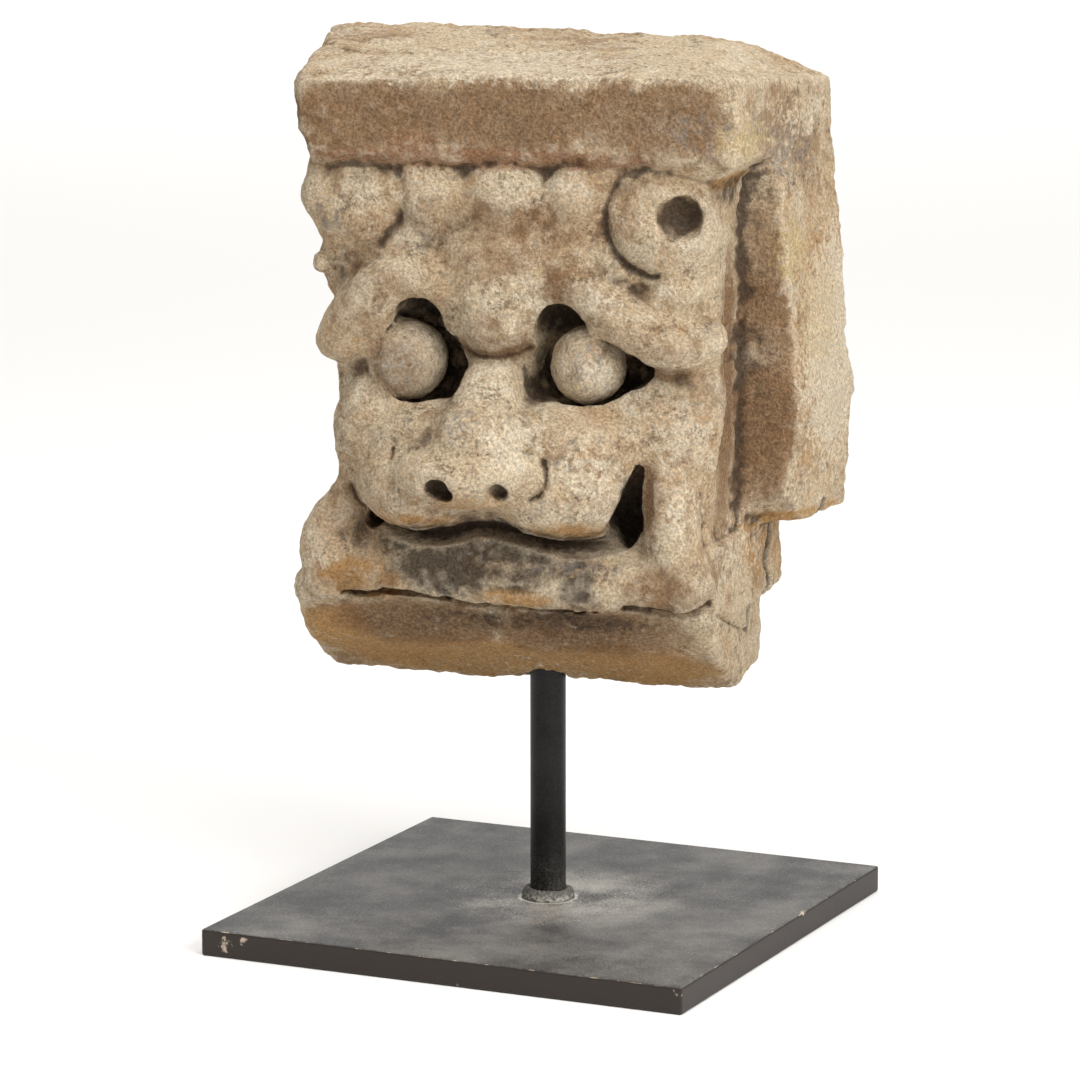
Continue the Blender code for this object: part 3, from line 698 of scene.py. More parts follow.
STAINS = {
    # Soot and painted shadow: the stains under the muzzle and the lip, and in the mouth's right corner, paint
    # the shade of the overhangs and of the hole as well as soot
    "soot_and_shade": (
        Stain(-0.10, 0.10, -0.66, 0.85, 0.40, 0.15, 1.0),
        Stain(-0.05, 0.00, -1.08, 0.62, 0.40, 0.07, 0.55),
        Stain(-0.26, 0.10, -0.80, 0.36, 0.40, 0.17, 0.95),
        Stain(0.10, 0.10, -0.82, 0.30, 0.40, 0.12, 0.65),
        Stain(0.38, 0.10, -0.84, 0.12, 0.40, 0.16, 0.90),
        Stain(0.60, 0.00, -0.50, 0.10, 0.30, 0.26, 1.0),
        Stain(0.20, 0.00, -1.06, 0.80, 0.30, 0.08, 0.6),
        Stain(0.10, 0.10, 1.22, 0.25, 0.30, 0.10, 0.35),
        Stain(1.00, -0.20, 0.96, 0.10, 0.25, 0.12, 0.7),
    ),
    "brown": (
        Stain(-0.05, 0.00, 0.80, 0.62, 0.40, 0.16, 0.48),
        Stain(-0.55, 0.00, 0.52, 0.35, 0.40, 0.16, 0.45),
        Stain(-0.06, 0.10, 0.22, 0.26, 0.40, 0.09, 0.9),
        Stain(0.26, 0.00, 0.52, 0.12, 0.40, 0.14, 0.7),
        Stain(-0.65, 0.10, 1.29, 0.65, 0.45, 0.25, 0.80),
        Stain(0.05, 0.10, 1.29, 0.60, 0.45, 0.25, 0.85),
        Stain(0.70, 0.10, 1.29, 0.50, 0.45, 0.25, 0.80),
        Stain(0.78, 0.00, 0.12, 0.15, 0.40, 0.06, 0.6),
        Stain(0.73, 0.00, -0.45, 0.07, 0.40, 0.25, 0.8),
        Stain(0.80, 0.02, -0.88, 0.28, 0.40, 0.16, 0.75),
        Stain(-0.80, 0.00, -0.50, 0.16, 0.40, 0.16, 0.5),
        Stain(-0.70, 0.02, -0.88, 0.30, 0.40, 0.12, 0.5),
        Stain(-0.45, 0.00, -1.10, 0.55, 0.50, 0.16, 1.0),
        Stain(0.35, 0.00, -1.10, 0.60, 0.50, 0.20, 1.0),
        Stain(-0.52, 0.05, 0.12, 0.20, 0.30, 0.20, 0.75),
        Stain(0.375, 0.05, 0.12, 0.20, 0.30, 0.20, 0.35),
        Stain(-0.62, 0.00, 0.50, 0.30, 0.30, 0.10, 0.5),
        Stain(-0.05, 0.05, 0.62, 0.30, 0.30, 0.12, 0.50),
        Stain(-0.10, 0.10, 0.34, 0.14, 0.30, 0.14, 0.45),
        Stain(-0.72, 0.00, 0.36, 0.20, 0.30, 0.16, 0.5),
        Stain(0.98, -0.30, 0.05, 0.08, 0.22, 0.85, 0.85),
        Stain(1.18, -0.50, 0.45, 0.30, 0.13, 0.60, 0.8),
        Stain(1.18, -0.50, -0.20, 0.30, 0.13, 0.60, 1.0),
    ),
    "ochre": (
        Stain(-0.40, 0.30, -0.60, 0.35, 0.35, 0.10, 0.7),
        Stain(0.35, 0.30, -0.62, 0.38, 0.35, 0.10, 0.7),
        Stain(-0.06, 0.45, -0.45, 0.25, 0.30, 0.08, 0.5),
        Stain(-0.70, 0.05, -0.88, 0.28, 0.40, 0.12, 0.8),
        Stain(0.08, 0.10, -0.92, 0.25, 0.30, 0.06, 0.7),
        # Partly painted warm bounce light from below on the ledge's lower band, partly fresher stone
        Stain(-0.30, 0.00, -1.36, 0.90, 0.80, 0.22, 1.0),
        Stain(0.50, 0.00, -1.36, 0.60, 0.80, 0.22, 1.0),
        Stain(-0.90, 0.00, -1.20, 0.30, 0.50, 0.20, 0.8),
        Stain(-0.80, 0.00, 0.25, 0.22, 0.40, 0.18, 0.3),
        # Partly painted warm bounce light on the moulding's underside, partly fresher stone
        Stain(1.20, -0.80, -0.66, 0.35, 0.60, 0.06, 1.0),
        Stain(1.12, -0.20, 0.99, 0.20, 0.40, 0.05, 0.9),
        Stain(1.35, -0.95, 0.20, 0.20, 0.80, 1.20, 0.35),
        Stain(1.05, -0.90, -0.80, 0.20, 0.60, 0.30, 0.4),
    ),
    "slate": (
        Stain(-0.13, 0.30, -0.10, 0.16, 0.40, 0.12, 0.6),
        Stain(0.30, 0.10, -0.77, 0.35, 0.40, 0.07, 0.60),
        Stain(-0.20, 0.10, -0.74, 0.30, 0.40, 0.05, 0.4),
        Stain(-0.85, 0.00, 0.82, 0.14, 0.40, 0.14, 0.5),
        Stain(0.40, 0.05, 0.14, 0.18, 0.40, 0.16, 0.6),
        Stain(-0.52, 0.05, 0.12, 0.16, 0.40, 0.16, 0.6),
        Stain(0.45, 0.20, -0.22, 0.25, 0.40, 0.16, 0.4),
        Stain(0.95, 0.10, 1.24, 0.20, 0.60, 0.20, 0.5),
        Stain(1.30, -0.60, 1.10, 0.30, 0.60, 0.25, 0.55),
        Stain(-0.30, -0.60, 1.46, 0.90, 0.60, 0.08, 0.35),
    ),
    "cream": (
        Stain(0.12, 0.35, -0.18, 0.20, 0.40, 0.18, 0.7),
        Stain(0.45, 0.25, -0.30, 0.25, 0.40, 0.16, 0.55),
        Stain(0.85, 0.00, -0.50, 0.12, 0.40, 0.16, 0.6),
        Stain(0.00, -0.50, 1.46, 1.40, 0.90, 0.09, 0.65),
        Stain(0.45, 0.05, 0.10, 0.14, 0.40, 0.12, 0.7),
        Stain(-0.10, 0.10, 0.05, 0.16, 0.40, 0.14, 0.5),
        Stain(0.50, 0.00, 0.44, 0.30, 0.40, 0.14, 0.4),
        Stain(1.38, -0.95, 0.20, 0.16, 0.75, 0.90, 0.85),
        Stain(1.35, -0.55, 1.22, 0.20, 0.75, 0.22, 0.80),
        Stain(1.00, -0.60, -0.75, 0.14, 0.60, 0.25, 0.5),
        # Painted light: lightens the ledge's lower band, which faces down and is in shade
        Stain(0.05, 0.00, -1.40, 1.00, 0.80, 0.18, 0.42),
    ),
    "lichen": (
        Stain(1.10, -0.10, 1.18, 0.16, 0.40, 0.16, 0.75),
        Stain(1.22, -0.65, 0.62, 0.12, 0.30, 0.22, 0.75),
        Stain(1.30, -0.90, 0.30, 0.14, 0.50, 0.40, 0.6),
        Stain(0.385, 0.10, 0.05, 0.12, 0.20, 0.08, 0.6),
    ),
    "rust": (
        Stain(-0.10, 0.00, 1.09, 1.15, 0.30, 0.06, 0.9),
        Stain(-0.45, 0.10, 1.17, 0.20, 0.30, 0.06, 0.6),
    ),
}


# Rain washes these off where the stone looks up, and off the moulding's outer side. This is also painted
# light: the faces that look up and to the right are left paler than the faces in shade.
CLEARED_WHERE_WASHED_AND_LIT = ("soot_and_shade", "brown")

# A side line this deep is black with soot and painted shade, and a shallower one is paler in proportion
BLACK_WHEN_DEEP_MM = 7


def write_attribute(mesh, name, values):
    attribute = mesh.attributes.new(name, "FLOAT", "POINT")
    attribute.data.foreach_set("value", np.clip(values, 0, 1).astype(np.float32))


def stain(stone, block):
    """Writes where each stain lies, and how hollow and how proud the surface is, for the material to read.
    Some stains, and the hollow measure, are painted shade and light.
    """
    mesh = stone.data
    points = read_points(mesh)
    normals = read_normals(mesh)
    edges = read_edges(mesh)
    scale = np.array((block.half_width, block.half_width, block.half_height))
    moulding = np.maximum(
        ramp(points[:, 0], block.right + 2 * MM, block.right + 6 * MM),
        ramp(points[:, 2], block.slab, block.slab + 4 * MM),
    )
    for name, stains in STAINS.items():
        total = np.zeros(len(points))
        for spot in stains:
            radii = np.array((spot.wide, spot.deep, spot.tall)) * scale
            centre = np.array(on_face(block, spot.across, spot.out, spot.up))
            away = np.linalg.norm((points - centre) / radii, axis=1)
            total = np.maximum(total, fade(away, 0.35, 1.25) * spot.strength)
        if name == "soot_and_shade":
            # Painted shade, with soot, in the side lines' cracks, darker the deeper they are
            for line in SIDE_LINES:
                near = fade(distance_to_side_line(points, block, line), 1.0 * MM, 1.4 * line.wide_mm * MM)
                near *= ramp(points[:, 0], block.right - 15 * MM, block.right - 10 * MM)
                total = np.maximum(total, near * line.deep_mm / BLACK_WHEN_DEEP_MM)
        # Painted light, partly rain-washing: soot and brown are cleared off the faces that look up and off the
        # moulding's outer side
        if name in CLEARED_WHERE_WASHED_AND_LIT:
            total *= fade(normals[:, 2], 0.45, 0.85)
            total *= 1 - moulding * ramp(normals[:, 0], 0.45, 0.85)
        write_attribute(mesh, name, total)

    # How hollow the surface is, which the material turns into painted shade along with dirt
    near = np.einsum("ij,ij->i", relaxed(points, edges, NEAR_ROUNDS) - points, normals)
    far = np.einsum("ij,ij->i", relaxed(points, edges, FAR_ROUNDS) - points, normals)
    write_attribute(mesh, "hollow", near / NEAR_HOLLOW + far / FAR_HOLLOW)
    write_attribute(mesh, "crest", -near / FULL_CREST)


def shade_smooth(obj):
    take(obj)
    bpy.ops.object.shade_smooth()


class CORBEL_OT_stone(Operator):
    """Carve and weather the stone"""

    bl_idname = "corbel.stone"
    bl_label = "Carve the Stone"

    def execute(self, context):
        sizes = context.scene.corbel_stone
        block = block_of(sizes)
        stone = blocked_out_stone(sizes)
        cut_back_face(stone, sizes, block)
        carve(
            stone, "head_forms", "UNION", block, sizes.grain,
            lumps=(
                MUZZLE, NOSE_TIP, *LIP_PADS, *MUZZLE_FLANKS, FOREHEAD, *CHEEKS, LOWER_JAW, RIGHT_EAR,
                LEFT_EAR, LEFT_EAR_TIP, *TUFTS, TEMPLE_BUMP, EAR_ROOT, LEDGE_END,
            ),
            rolls=(NOSE_BRIDGE, FOREHEAD_DROP, LEFT_JOWL, RIGHT_JOWL, LOWER_LIP, LEFT_BROW, RIGHT_BROW),
        )
        one_skin(stone, sizes.grain)
        apply_modifiers(stone)
        fill_creases(stone, block)
        carve(
            stone, "hollows", "DIFFERENCE", block, sizes.grain,
            lumps=(*SOCKETS, EAR_HOLE, *NOSTRILS, MOUTH_LEFT_CORNER),
            rolls=(NOSE_GROOVE,),
            slots=(MOUTH, MOUTH_RIGHT_CORNER, LIP_CREASE),
        )
        carve(stone, "eyes", "UNION", block, sizes.grain, lumps=EYES)
        one_skin(stone, sizes.grain)
        soften = stone.modifiers.new("Worn", "SMOOTH")
        soften.iterations = 3
        apply_modifiers(stone)
        weather(stone, block)
        thin_out(stone, sizes)
        drill_seat(stone, sizes)
        stain(stone, block)
        stone.data.transform(stone_place(sizes))
        shade_smooth(stone)
        stone.data.materials.clear()
        stone.data.materials.append(weathered_sandstone(context.scene.corbel_colours))
        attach(stone, "root")
        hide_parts("stone_corbel")
        return {"FINISHED"}


class CORBEL_OT_bead(Operator):
    """Lay the rippled weld bead round the rod's foot"""

    bl_idname = "corbel.bead"
    bl_label = "Lay the Weld Bead"

    def execute(self, context):
        finish = context.scene.corbel_finish
        rod_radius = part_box("rod")[1].x
        plate_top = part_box("base_plate")[1].z
        reach = finish.bead_diameter / 2 - rod_radius
        tube = reach * BEAD_TUBE
        bpy.ops.object.select_all(action="DESELECT")
        bpy.ops.mesh.primitive_torus_add(
            major_segments=finish.ripples * 6,
            minor_segments=20,
            major_radius=rod_radius + reach - tube,
            minor_radius=tube,
            location=(0, 0, plate_top),
        )
        bead = bpy.context.active_object
        bead.name = "rippled_weld_bead"
        bead.data.name = "rippled_weld_bead"
        bpy.ops.object.transform_apply(location=True, rotation=True, scale=True)
        points = read_points(bead.data)
        turn = np.arctan2(points[:, 1], points[:, 0])
        ripple = BEAD_RIPPLE * np.abs(np.sin(turn * finish.ripples / 2))
        height = 1 + ripple + BEAD_UNEVEN * noise_at(points, 6 * MM)
        points[:, 2] = plate_top + (points[:, 2] - plate_top) * finish.bead_height / tube * height
        write_points(bead.data, points)
        bpy.ops.object.mode_set(mode="EDIT")
        bpy.ops.mesh.select_all(action="SELECT")
        bpy.ops.mesh.bisect(
            plane_co=(0, 0, plate_top + 0.1 * MM),
            plane_no=(0, 0, 1),
            use_fill=True,
            clear_inner=True,
            threshold=SAME_POINT,
        )
        bpy.ops.mesh.select_all(action="SELECT")
        bpy.ops.mesh.normals_make_consistent(inside=False)
        bpy.ops.object.mode_set(mode="OBJECT")
        shade_smooth(bead)
        bead.data.materials.append(dusty_weld(finish))
        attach(bead, "root")
        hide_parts("weld_bead")
        return {"FINISHED"}


class CORBEL_OT_stand(Operator):
    """Paint the plate and the rod, and lay the dust on them"""

    bl_idname = "corbel.stand"
    bl_label = "Paint the Stand"

    def execute(self, context):
        finish = context.scene.corbel_finish
        for node, material in (("base_plate", painted_plate(finish)), ("rod", painted_rod(finish))):
            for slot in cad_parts[node].material_slots:
                slot.material = material
        return {"FINISHED"}


Softbox = namedtuple("Softbox", "name place aim power size")

# The last one lights the floor far behind the stand, so that it runs out to white
SOFTBOXES = (
    Softbox("overhead_softbox", (0.3, -0.4, 2.3), (0, 0, 0.25), 31, 1.5),
    Softbox("right_softbox", (2.0, -1.0, 1.3), (0, 0, 0.25), 43, 1.2),
    Softbox("backdrop_light", (-2.2, 4.8, 3.2), (-2.2, 4.8, 0), 90, 4.0),
)


class CORBEL_OT_stage(Operator):
    """Set up the floor, the light and the camera"""

    bl_idname = "corbel.stage"
    bl_label = "Set the Stage"

    def execute(self, context):
        settings = context.scene.corbel_stage
        bpy.ops.object.select_all(action="DESELECT")
        bpy.ops.mesh.primitive_plane_add(size=settings.floor_size, location=(0, 0, 0))
        floor = bpy.context.active_object
        floor.name = "floor"
        floor.data.materials.append(pale_floor(settings))
        for light in SOFTBOXES:
            make_light(light)
        context.scene.world = studio_sky()
        context.scene.view_settings.view_transform = "Standard"
        make_camera(settings)
        return {"FINISHED"}


def studio_sky():
    """Soft white light from all round that is strongest from straight above."""
    world = bpy.data.worlds.new("studio")
    world.use_nodes = True
    tree = world.node_tree
    height = add(tree, "ShaderNodeSeparateXYZ", None, {
        0: add(tree, "ShaderNodeTexCoord").outputs["Generated"],
    }).outputs["Z"]
    strength = add(tree, "ShaderNodeMapRange", None, {
        "Value": height, "To Min": 0.15, "To Max": 0.95,
    }).outputs[0]
    background = tree.nodes["Background"]
    background.inputs["Color"].default_value = (1.0, 1.0, 1.0, 1.0)
    tree.links.new(strength, background.inputs["Strength"])
    return world


def make_light(softbox):
    """A square light that looks at the point to aim at."""
    turn = (Vector(softbox.aim) - Vector(softbox.place)).to_track_quat("-Z", "Y").to_euler()
    bpy.ops.object.light_add(type="AREA", location=softbox.place, rotation=turn)
    light = bpy.context.active_object
    light.name = softbox.name
    light.data.energy = softbox.power
    light.data.size = softbox.size


def make_camera(settings):
    back = Vector((
        math.sin(settings.azimuth) * math.cos(settings.elevation),
        -math.cos(settings.azimuth) * math.cos(settings.elevation),
        math.sin(settings.elevation),
    ))
    level = Vector((math.cos(settings.azimuth), math.sin(settings.azimuth), 0))
    upright = back.cross(level)
    right = math.cos(settings.roll) * level + math.sin(settings.roll) * upright
    up = math.cos(settings.roll) * upright - math.sin(settings.roll) * level
    place = Vector((0, 0, settings.aim_height)) + back * settings.distance
    place += right * settings.aim_right + up * settings.aim_up
    axes = Matrix((right, up, back)).transposed()
    bpy.ops.object.camera_add(location=place, rotation=axes.to_euler())
    camera = bpy.context.active_object
    camera.data.lens = settings.lens
    bpy.context.scene.camera = camera


def add(tree, kind, settings=None, inputs=None):
    """Adds a node with its settings; each input is given a value, or a link where it is given a socket."""
    node = tree.nodes.new(kind)
    for name, value in (settings or {}).items():
        setattr(node, name, value)
    for key, value in (inputs or {}).items():
        if isinstance(value, bpy.types.NodeSocket):
            tree.links.new(value, node.inputs[key])
        else:
            node.inputs[key].default_value = value
    return node


def new_material(name):
    material = bpy.data.materials.new(name)
    material.use_nodes = True
    return material, material.node_tree, material.node_tree.nodes["Principled BSDF"]


# A colour laid over those before it. Without an attribute its mask is noise in patches, and with one it is
# the attribute, broken up by noise. The colour comes in as the mask goes from low to high.
Layer = namedtuple("Layer", "colour grain_mm low high strength attribute broken", defaults=(None, None))

STONE_LAYERS = (
    Layer("warm", 16, 0.44, 0.58, 0.70),
    Layer("brown", 7, 0.51, 0.60, 0.55),
    Layer("cream", 5, 0.51, 0.60, 0.60),
    Layer("slate", 4, 0.54, 0.62, 0.30),
    Layer("umber", 2.2, 0.56, 0.61, 0.55),
    Layer("cream", 1.8, 0.54, 0.62, 0.45),
    Layer("ochre", 9, 0.15, 0.60, 0.88, "ochre", 0.8),
    Layer("brown", 14, 0.10, 0.80, 0.80, "brown", 1.2),
    Layer("rust", 6, 0.20, 0.70, 0.70, "rust", 0.6),
    Layer("umber", 1.6, 0.85, 1.35, 0.45, "rust", 2.2),
    Layer("umber", 1.6, 0.75, 1.30, 0.55, "brown", 2.2),
    # Soot, and painted shadow under the muzzle and the lip
    Layer("soot_and_shade", 6, 0.25, 0.90, 0.85, "soot_and_shade", 1.4),
    Layer("slate", 4, 0.40, 0.75, 0.65, "slate", 2.0),
    Layer("cream", 3, 0.40, 0.70, 0.80, "cream", 2.2),
    Layer("lichen", 3, 0.45, 0.75, 0.50, "lichen", 1.8),
    Layer("cream", 4, 0.30, 1.00, 0.35, "crest", 0.5),
    # Painted shade, with dirt: umber and soot darken the surface by how hollow it is
    Layer("umber", 5, 0.20, 0.85, 0.70, "hollow", 0.6),
    Layer("soot_and_shade", 4, 0.60, 1.25, 0.90, "hollow", 0.4),
)

# The patches are themselves gathered by noise this many times coarser, which has this share in their mask
PATCH_COARSER = 6
PATCH_SHARE = 0.45


def weathered_sandstone(colours):
    """Sandstone, tooled and then worn by weather: matt, sandy, mottled, with soot and painted shade in its
    hollows.
    """
    material, tree, shader = new_material("weathered_sandstone")
    place = add(tree, "ShaderNodeTexCoord").outputs["Object"]
    shown = (*colours.pale, 1.0)
    for layer in STONE_LAYERS:
        mask = add(tree, "ShaderNodeTexNoise", None, {
            "Vector": place, "Scale": 1 / (layer.grain_mm * MM), "Detail": 6.0, "Roughness": 0.62,
        }).outputs["Fac"]
        if layer.attribute:
            where = add(tree, "ShaderNodeAttribute", {"attribute_name": layer.attribute}).outputs["Fac"]
            centred = add(tree, "ShaderNodeMath", {"operation": "MULTIPLY_ADD"}, {
                0: mask, 1: layer.broken, 2: -layer.broken / 2,
            }).outputs[0]
            spread = add(tree, "ShaderNodeMath", {"operation": "ADD"}, {0: centred, 1: where}).outputs[0]
            # The noise alone draws nothing where the attribute is nil
            present = add(tree, "ShaderNodeMapRange", None, {"Value": where, "From Max": 0.12}).outputs[0]
            mask = add(tree, "ShaderNodeMath", {"operation": "MULTIPLY"}, {0: spread, 1: present}).outputs[0]
        else:
            patches = add(tree, "ShaderNodeTexNoise", None, {
                "Vector": place, "Scale": 1 / (PATCH_COARSER * layer.grain_mm * MM), "Detail": 3.0,
            }).outputs["Fac"]
            mask = add(tree, "ShaderNodeMix", None, {0: PATCH_SHARE, 2: mask, 3: patches}).outputs[0]
        amount = add(tree, "ShaderNodeMapRange", {"interpolation_type": "SMOOTHSTEP"}, {
            "Value": mask, "From Min": layer.low, "From Max": layer.high, "To Max": layer.strength,
        }).outputs[0]
        tint = (*getattr(colours, layer.colour), 1.0)
        shown = add(tree, "ShaderNodeMix", {"data_type": "RGBA"}, {0: amount, 6: shown, 7: tint}).outputs[2]

    # Sand grains are under half a millimetre and would not show, so they are drawn at 1.3 mm
    sand = add(tree, "ShaderNodeTexNoise", None, {
        "Vector": place, "Scale": 1 / (1.3 * MM), "Detail": 3.0, "Roughness": 0.75,
    }).outputs["Fac"]
    fleck = add(tree, "ShaderNodeMapRange", None, {
        "Value": sand, "From Min": 0.38, "From Max": 0.62, "To Min": 0.70, "To Max": 1.27,
    }).outputs[0]
    shown = add(tree, "ShaderNodeMix", {"data_type": "RGBA", "blend_type": "MULTIPLY"}, {
        0: 1.0, 6: shown, 7: fleck,
    }).outputs[2]
    tree.links.new(shown, shader.inputs["Base Color"])

    crumbs = add(tree, "ShaderNodeTexNoise", None, {
        "Vector": place, "Scale": 1 / (3.0 * MM), "Detail": 5.0, "Roughness": 0.7,
    }).outputs["Fac"]
    height = add(tree, "ShaderNodeMath", {"operation": "MULTIPLY_ADD"}, {
        0: crumbs, 1: 2.0, 2: sand,
    }).outputs[0]
    bump = add(tree, "ShaderNodeBump", None, {"Strength": 1.0, "Distance": 1.9 * MM, "Height": height})
    tree.links.new(bump.outputs["Normal"], shader.inputs["Normal"])
    shader.inputs["Roughness"].default_value = 0.94
    shader.inputs["Specular IOR Level"].default_value = 0.25
    return material


def dust_over(tree, place, paint, dust, amount):
    """Paint with dust on it: blotches of about 30 mm, broken into specks drawn at 1 mm, so that they show."""
    cloud = add(tree, "ShaderNodeTexNoise", None, {
        "Vector": place, "Scale": 1 / (32 * MM), "Detail": 8.0, "Roughness": 0.65,
    }).outputs["Fac"]
    speck = add(tree, "ShaderNodeTexNoise", None, {
        "Vector": place, "Scale": 1 / (1.1 * MM), "Detail": 2.0, "Roughness": 0.6,
    }).outputs["Fac"]
    both = add(tree, "ShaderNodeMath", {"operation": "MULTIPLY_ADD"}, {
        0: speck, 1: 0.55, 2: cloud,
    }).outputs[0]
    broken = add(tree, "ShaderNodeMapRange", {"interpolation_type": "SMOOTHSTEP"}, {
        "Value": both, "From Min": 0.58, "From Max": 1.02,
    }).outputs[0]
    share = add(tree, "ShaderNodeMath", {"operation": "MULTIPLY"}, {0: broken, 1: amount}).outputs[0]
    return add(tree, "ShaderNodeMix", {"data_type": "RGBA"}, {0: share, 6: paint, 7: (*dust, 1.0)}).outputs[2]


def paint_flakes(half, top):
    """Where the plate's paint has flaked off, and how far round that place."""
    return (
        ((-half + 12 * MM, -half, top / 2), 7 * MM),
        ((-half + 22 * MM, -half, top * 0.7), 5 * MM),
        ((half, -half, top), 8 * MM),
        ((half, 0.2 * half, top), 4 * MM),
        ((0.1 * half, -half, 0), 4 * MM),
    )


def painted_plate(finish):
    """Hot-rolled steel plate under satin black paint: dusty on top, brownish and chipped at its edges."""
    material, tree, shader = new_material("black_painted_steel_plate")
    place = add(tree, "ShaderNodeTexCoord").outputs["Object"]
    parts = add(tree, "ShaderNodeSeparateXYZ", None, {0: place}).outputs
    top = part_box("base_plate")[1].z
    on_top = add(tree, "ShaderNodeMapRange", None, {
        "Value": parts["Z"], "From Min": top - 0.6 * MM, "From Max": top - 0.1 * MM,
    }).outputs[0]
    paint = add(tree, "ShaderNodeMix", {"data_type": "RGBA"}, {
        0: on_top, 6: (*finish.edge, 1.0), 7: (*finish.paint, 1.0),
    }).outputs[2]

    # Dust is thickest round the rod's foot
    away = add(tree, "ShaderNodeVectorMath", {"operation": "DISTANCE"}, {
        0: place, 1: (6 * MM, 4 * MM, top),
    }).outputs["Value"]
    heap = add(tree, "ShaderNodeMapRange", {"interpolation_type": "SMOOTHSTEP"}, {
        "Value": away, "From Min": 14 * MM, "From Max": 65 * MM, "To Min": 1.0, "To Max": 0.27,
    }).outputs[0]
    amount = add(tree, "ShaderNodeMath", {"operation": "MULTIPLY"}, {0: heap, 1: on_top}).outputs[0]
    shown = dust_over(tree, place, paint, finish.dust, amount)

    # Single specks of dust, and a pale rim of dust and flux round the weld
    speck = add(tree, "ShaderNodeTexNoise", None, {
        "Vector": place, "Scale": 1 / (0.9 * MM), "Detail": 1.0,
    }).outputs["Fac"]
    strewn = add(tree, "ShaderNodeMapRange", {"interpolation_type": "SMOOTHSTEP"}, {
        "Value": speck, "From Min": 0.66, "From Max": 0.72, "To Max": 0.8,
    }).outputs[0]
    strewn = add(tree, "ShaderNodeMath", {"operation": "MULTIPLY"}, {0: strewn, 1: amount}).outputs[0]
    wobble = add(tree, "ShaderNodeTexNoise", None, {
        "Vector": place, "Scale": 1 / (5 * MM), "Detail": 4.0,
    }).outputs["Fac"]
    from_rod = add(tree, "ShaderNodeVectorMath", {"operation": "DISTANCE"}, {
        0: place, 1: (0, 0, top),
    }).outputs["Value"]
    ragged = add(tree, "ShaderNodeMath", {"operation": "MULTIPLY_ADD"}, {
        0: wobble, 1: 4 * MM, 2: from_rod,
    }).outputs[0]
    rim_at = finish.bead_diameter / 2 + 2.4 * MM
    off_rim = add(tree, "ShaderNodeMath", {"operation": "SUBTRACT"}, {0: ragged, 1: rim_at}).outputs[0]
    off_rim = add(tree, "ShaderNodeMath", {"operation": "ABSOLUTE"}, {0: off_rim}).outputs[0]
    rim = add(tree, "ShaderNodeMapRange", {"interpolation_type": "SMOOTHSTEP"}, {
        "Value": off_rim, "From Min": 0.4 * MM, "From Max": 1.6 * MM, "To Min": 0.9, "To Max": 0.0,
    }).outputs[0]
    pale = add(tree, "ShaderNodeMath", {"operation": "MAXIMUM"}, {0: rim, 1: strewn}).outputs[0]
    pale = add(tree, "ShaderNodeMath", {"operation": "MULTIPLY"}, {0: pale, 1: on_top}).outputs[0]
    shown = add(tree, "ShaderNodeMix", {"data_type": "RGBA"}, {
        0: pale, 6: shown, 7: (*finish.flux, 1.0),
    }).outputs[2]

    # Chips and wear along the top arrises and down the corners
    across = add(tree, "ShaderNodeMath", {"operation": "ABSOLUTE"}, {0: parts["X"]}).outputs[0]
    along = add(tree, "ShaderNodeMath", {"operation": "ABSOLUTE"}, {0: parts["Y"]}).outputs[0]
    further = add(tree, "ShaderNodeMath", {"operation": "MAXIMUM"}, {0: across, 1: along}).outputs[0]
    nearer = add(tree, "ShaderNodeMath", {"operation": "MINIMUM"}, {0: across, 1: along}).outputs[0]
    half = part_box("base_plate")[1].x
    at_rim = add(tree, "ShaderNodeMapRange", None, {
        "Value": further, "From Min": half - 1.6 * MM, "From Max": half - 0.4 * MM,
    }).outputs[0]
    at_top = add(tree, "ShaderNodeMapRange", None, {
        "Value": parts["Z"], "From Min": top - 1.6 * MM, "From Max": top - 0.3 * MM,
    }).outputs[0]
    on_arris = add(tree, "ShaderNodeMath", {"operation": "MULTIPLY"}, {0: at_rim, 1: at_top}).outputs[0]
    at_corner = add(tree, "ShaderNodeMapRange", None, {
        "Value": nearer, "From Min": half - 5 * MM, "From Max": half, "To Max": 0.9,
    }).outputs[0]
    exposed = add(tree, "ShaderNodeMath", {"operation": "MAXIMUM"}, {0: on_arris, 1: at_corner}).outputs[0]
    for spot, reach in paint_flakes(half, top):
        from_spot = add(tree, "ShaderNodeVectorMath", {"operation": "DISTANCE"}, {
            0: place, 1: spot,
        }).outputs["Value"]
        flaked = add(tree, "ShaderNodeMapRange", None, {
            "Value": from_spot, "From Min": reach / 2, "From Max": reach, "To Min": 1.0, "To Max": 0.0,
        }).outputs[0]
        exposed = add(tree, "ShaderNodeMath", {"operation": "MAXIMUM"}, {0: exposed, 1: flaked}).outputs[0]
    rubbed = add(tree, "ShaderNodeTexNoise", None, {
        "Vector": place, "Scale": 1 / (7 * MM), "Detail": 5.0, "Roughness": 0.7,
    }).outputs["Fac"]
    worn = add(tree, "ShaderNodeMath", {"operation": "MULTIPLY"}, {0: exposed, 1: rubbed}).outputs[0]
    chipped = add(tree, "ShaderNodeMapRange", {"interpolation_type": "SMOOTHSTEP"}, {
        "Value": worn, "From Min": 0.52, "From Max": 0.62, "To Max": 0.8,
    }).outputs[0]
    shown = add(tree, "ShaderNodeMix", {"data_type": "RGBA"}, {
        0: chipped, 6: shown, 7: (*finish.chip, 1.0),
    }).outputs[2]
    tree.links.new(shown, shader.inputs["Base Color"])

    orange_peel = add(tree, "ShaderNodeTexNoise", None, {
        "Vector": place, "Scale": 1 / (1.6 * MM), "Detail": 3.0,
    }).outputs["Fac"]
    bump = add(tree, "ShaderNodeBump", None, {"Strength": 0.35, "Distance": 0.12 * MM, "Height": orange_peel})
    tree.links.new(bump.outputs["Normal"], shader.inputs["Normal"])
    shader.inputs["Roughness"].default_value = 0.5
    return material


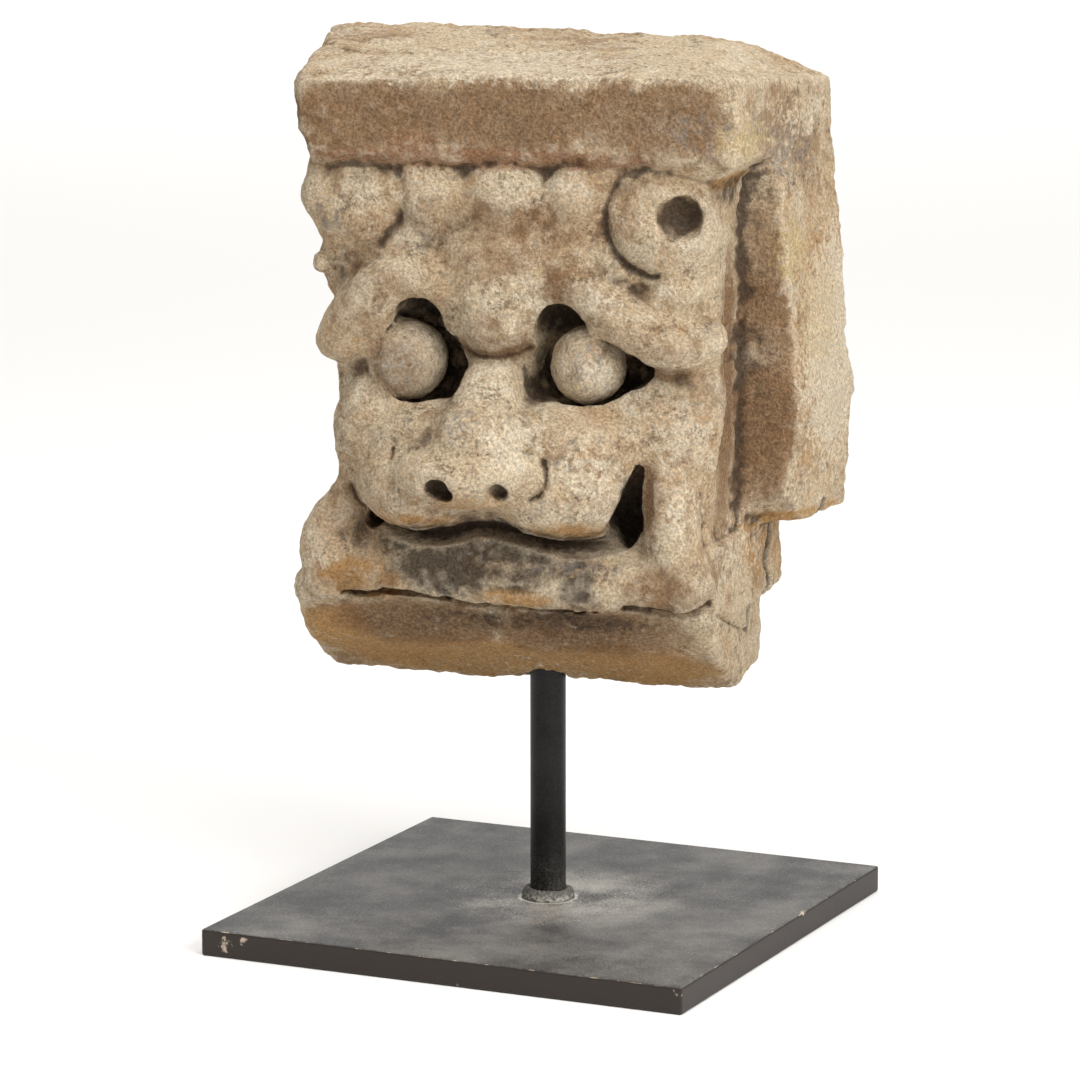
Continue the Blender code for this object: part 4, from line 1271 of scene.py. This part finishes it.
def painted_rod(finish):
    """Round steel bar under satin black paint, with a little dust near its foot."""
    material, tree, shader = new_material("black_painted_steel_rod")
    place = add(tree, "ShaderNodeTexCoord").outputs["Object"]
    parts = add(tree, "ShaderNodeSeparateXYZ", None, {0: place}).outputs
    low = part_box("rod")[0].z
    near_foot = add(tree, "ShaderNodeMapRange", {"interpolation_type": "SMOOTHSTEP"}, {
        "Value": parts["Z"], "From Min": low, "From Max": low + 30 * MM, "To Min": 0.16, "To Max": 0.03,
    }).outputs[0]
    shown = dust_over(tree, place, (*finish.rod_paint, 1.0), finish.dust, near_foot)
    tree.links.new(shown, shader.inputs["Base Color"])
    grit = add(tree, "ShaderNodeTexNoise", None, {
        "Vector": place, "Scale": 1 / (1.2 * MM), "Detail": 3.0,
    }).outputs["Fac"]
    bump = add(tree, "ShaderNodeBump", None, {"Strength": 0.3, "Distance": 0.1 * MM, "Height": grit})
    tree.links.new(bump.outputs["Normal"], shader.inputs["Normal"])
    shader.inputs["Roughness"].default_value = 0.42
    shader.inputs["Specular IOR Level"].default_value = 0.2
    return material


def dusty_weld(finish):
    """Weld bead under the same paint, its rim pale with stone dust."""
    material, tree, shader = new_material("painted_weld_with_dust")
    place = add(tree, "ShaderNodeTexCoord").outputs["Object"]
    parts = add(tree, "ShaderNodeSeparateXYZ", None, {0: place}).outputs
    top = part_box("base_plate")[1].z
    rim = add(tree, "ShaderNodeMapRange", {"interpolation_type": "SMOOTHSTEP"}, {
        "Value": parts["Z"], "From Min": top, "From Max": top + 4 * MM, "To Min": 1.6, "To Max": 0.5,
    }).outputs[0]
    shown = dust_over(tree, place, (*finish.paint, 1.0), finish.dust, rim)
    tree.links.new(shown, shader.inputs["Base Color"])
    shader.inputs["Roughness"].default_value = 0.6
    return material


def pale_floor(settings):
    """Plain matt studio floor, pale enough to run out to white."""
    material, _, shader = new_material("matt_studio_floor")
    shader.inputs["Base Color"].default_value = (*settings.floor_colour, 1.0)
    shader.inputs["Roughness"].default_value = 0.9
    return material


class CORBEL_PT_panel(Panel):
    """Sizes, colours and steps of the corbel"""

    bl_idname = "CORBEL_PT_panel"
    bl_label = "Stone Corbel"
    bl_space_type = "VIEW_3D"
    bl_region_type = "UI"
    bl_category = "Corbel"

    def draw(self, context):
        for step, names in STEPS:
            box = self.layout.box()
            box.operator(step)
            for name in names:
                settings = getattr(context.scene, name)
                for prop in settings.bl_rna.properties:
                    if prop.identifier not in ("rna_type", "name"):
                        box.prop(settings, prop.identifier)


GROUPS = {
    "corbel_stone": StoneSizes,
    "corbel_colours": StoneColours,
    "corbel_finish": StandFinish,
    "corbel_stage": StageSettings,
}
STEPS = (
    ("corbel.stone", ("corbel_stone", "corbel_colours")),
    ("corbel.bead", ()),
    ("corbel.stand", ("corbel_finish",)),
    ("corbel.stage", ("corbel_stage",)),
)
CLASSES = (CORBEL_OT_stone, CORBEL_OT_bead, CORBEL_OT_stand, CORBEL_OT_stage, CORBEL_PT_panel)


def register():
    for name, group in GROUPS.items():
        bpy.utils.register_class(group)
        setattr(bpy.types.Scene, name, PointerProperty(type=group))
    for shown_class in CLASSES:
        bpy.utils.register_class(shown_class)


def unregister():
    for shown_class in reversed(CLASSES):
        bpy.utils.unregister_class(shown_class)
    for name, group in GROUPS.items():
        delattr(bpy.types.Scene, name)
        bpy.utils.unregister_class(group)


def main():
    register()
    bpy.ops.corbel.stone()
    bpy.ops.corbel.bead()
    bpy.ops.corbel.stand()
    bpy.ops.corbel.stage()


if __name__ == "__main__":
    main()
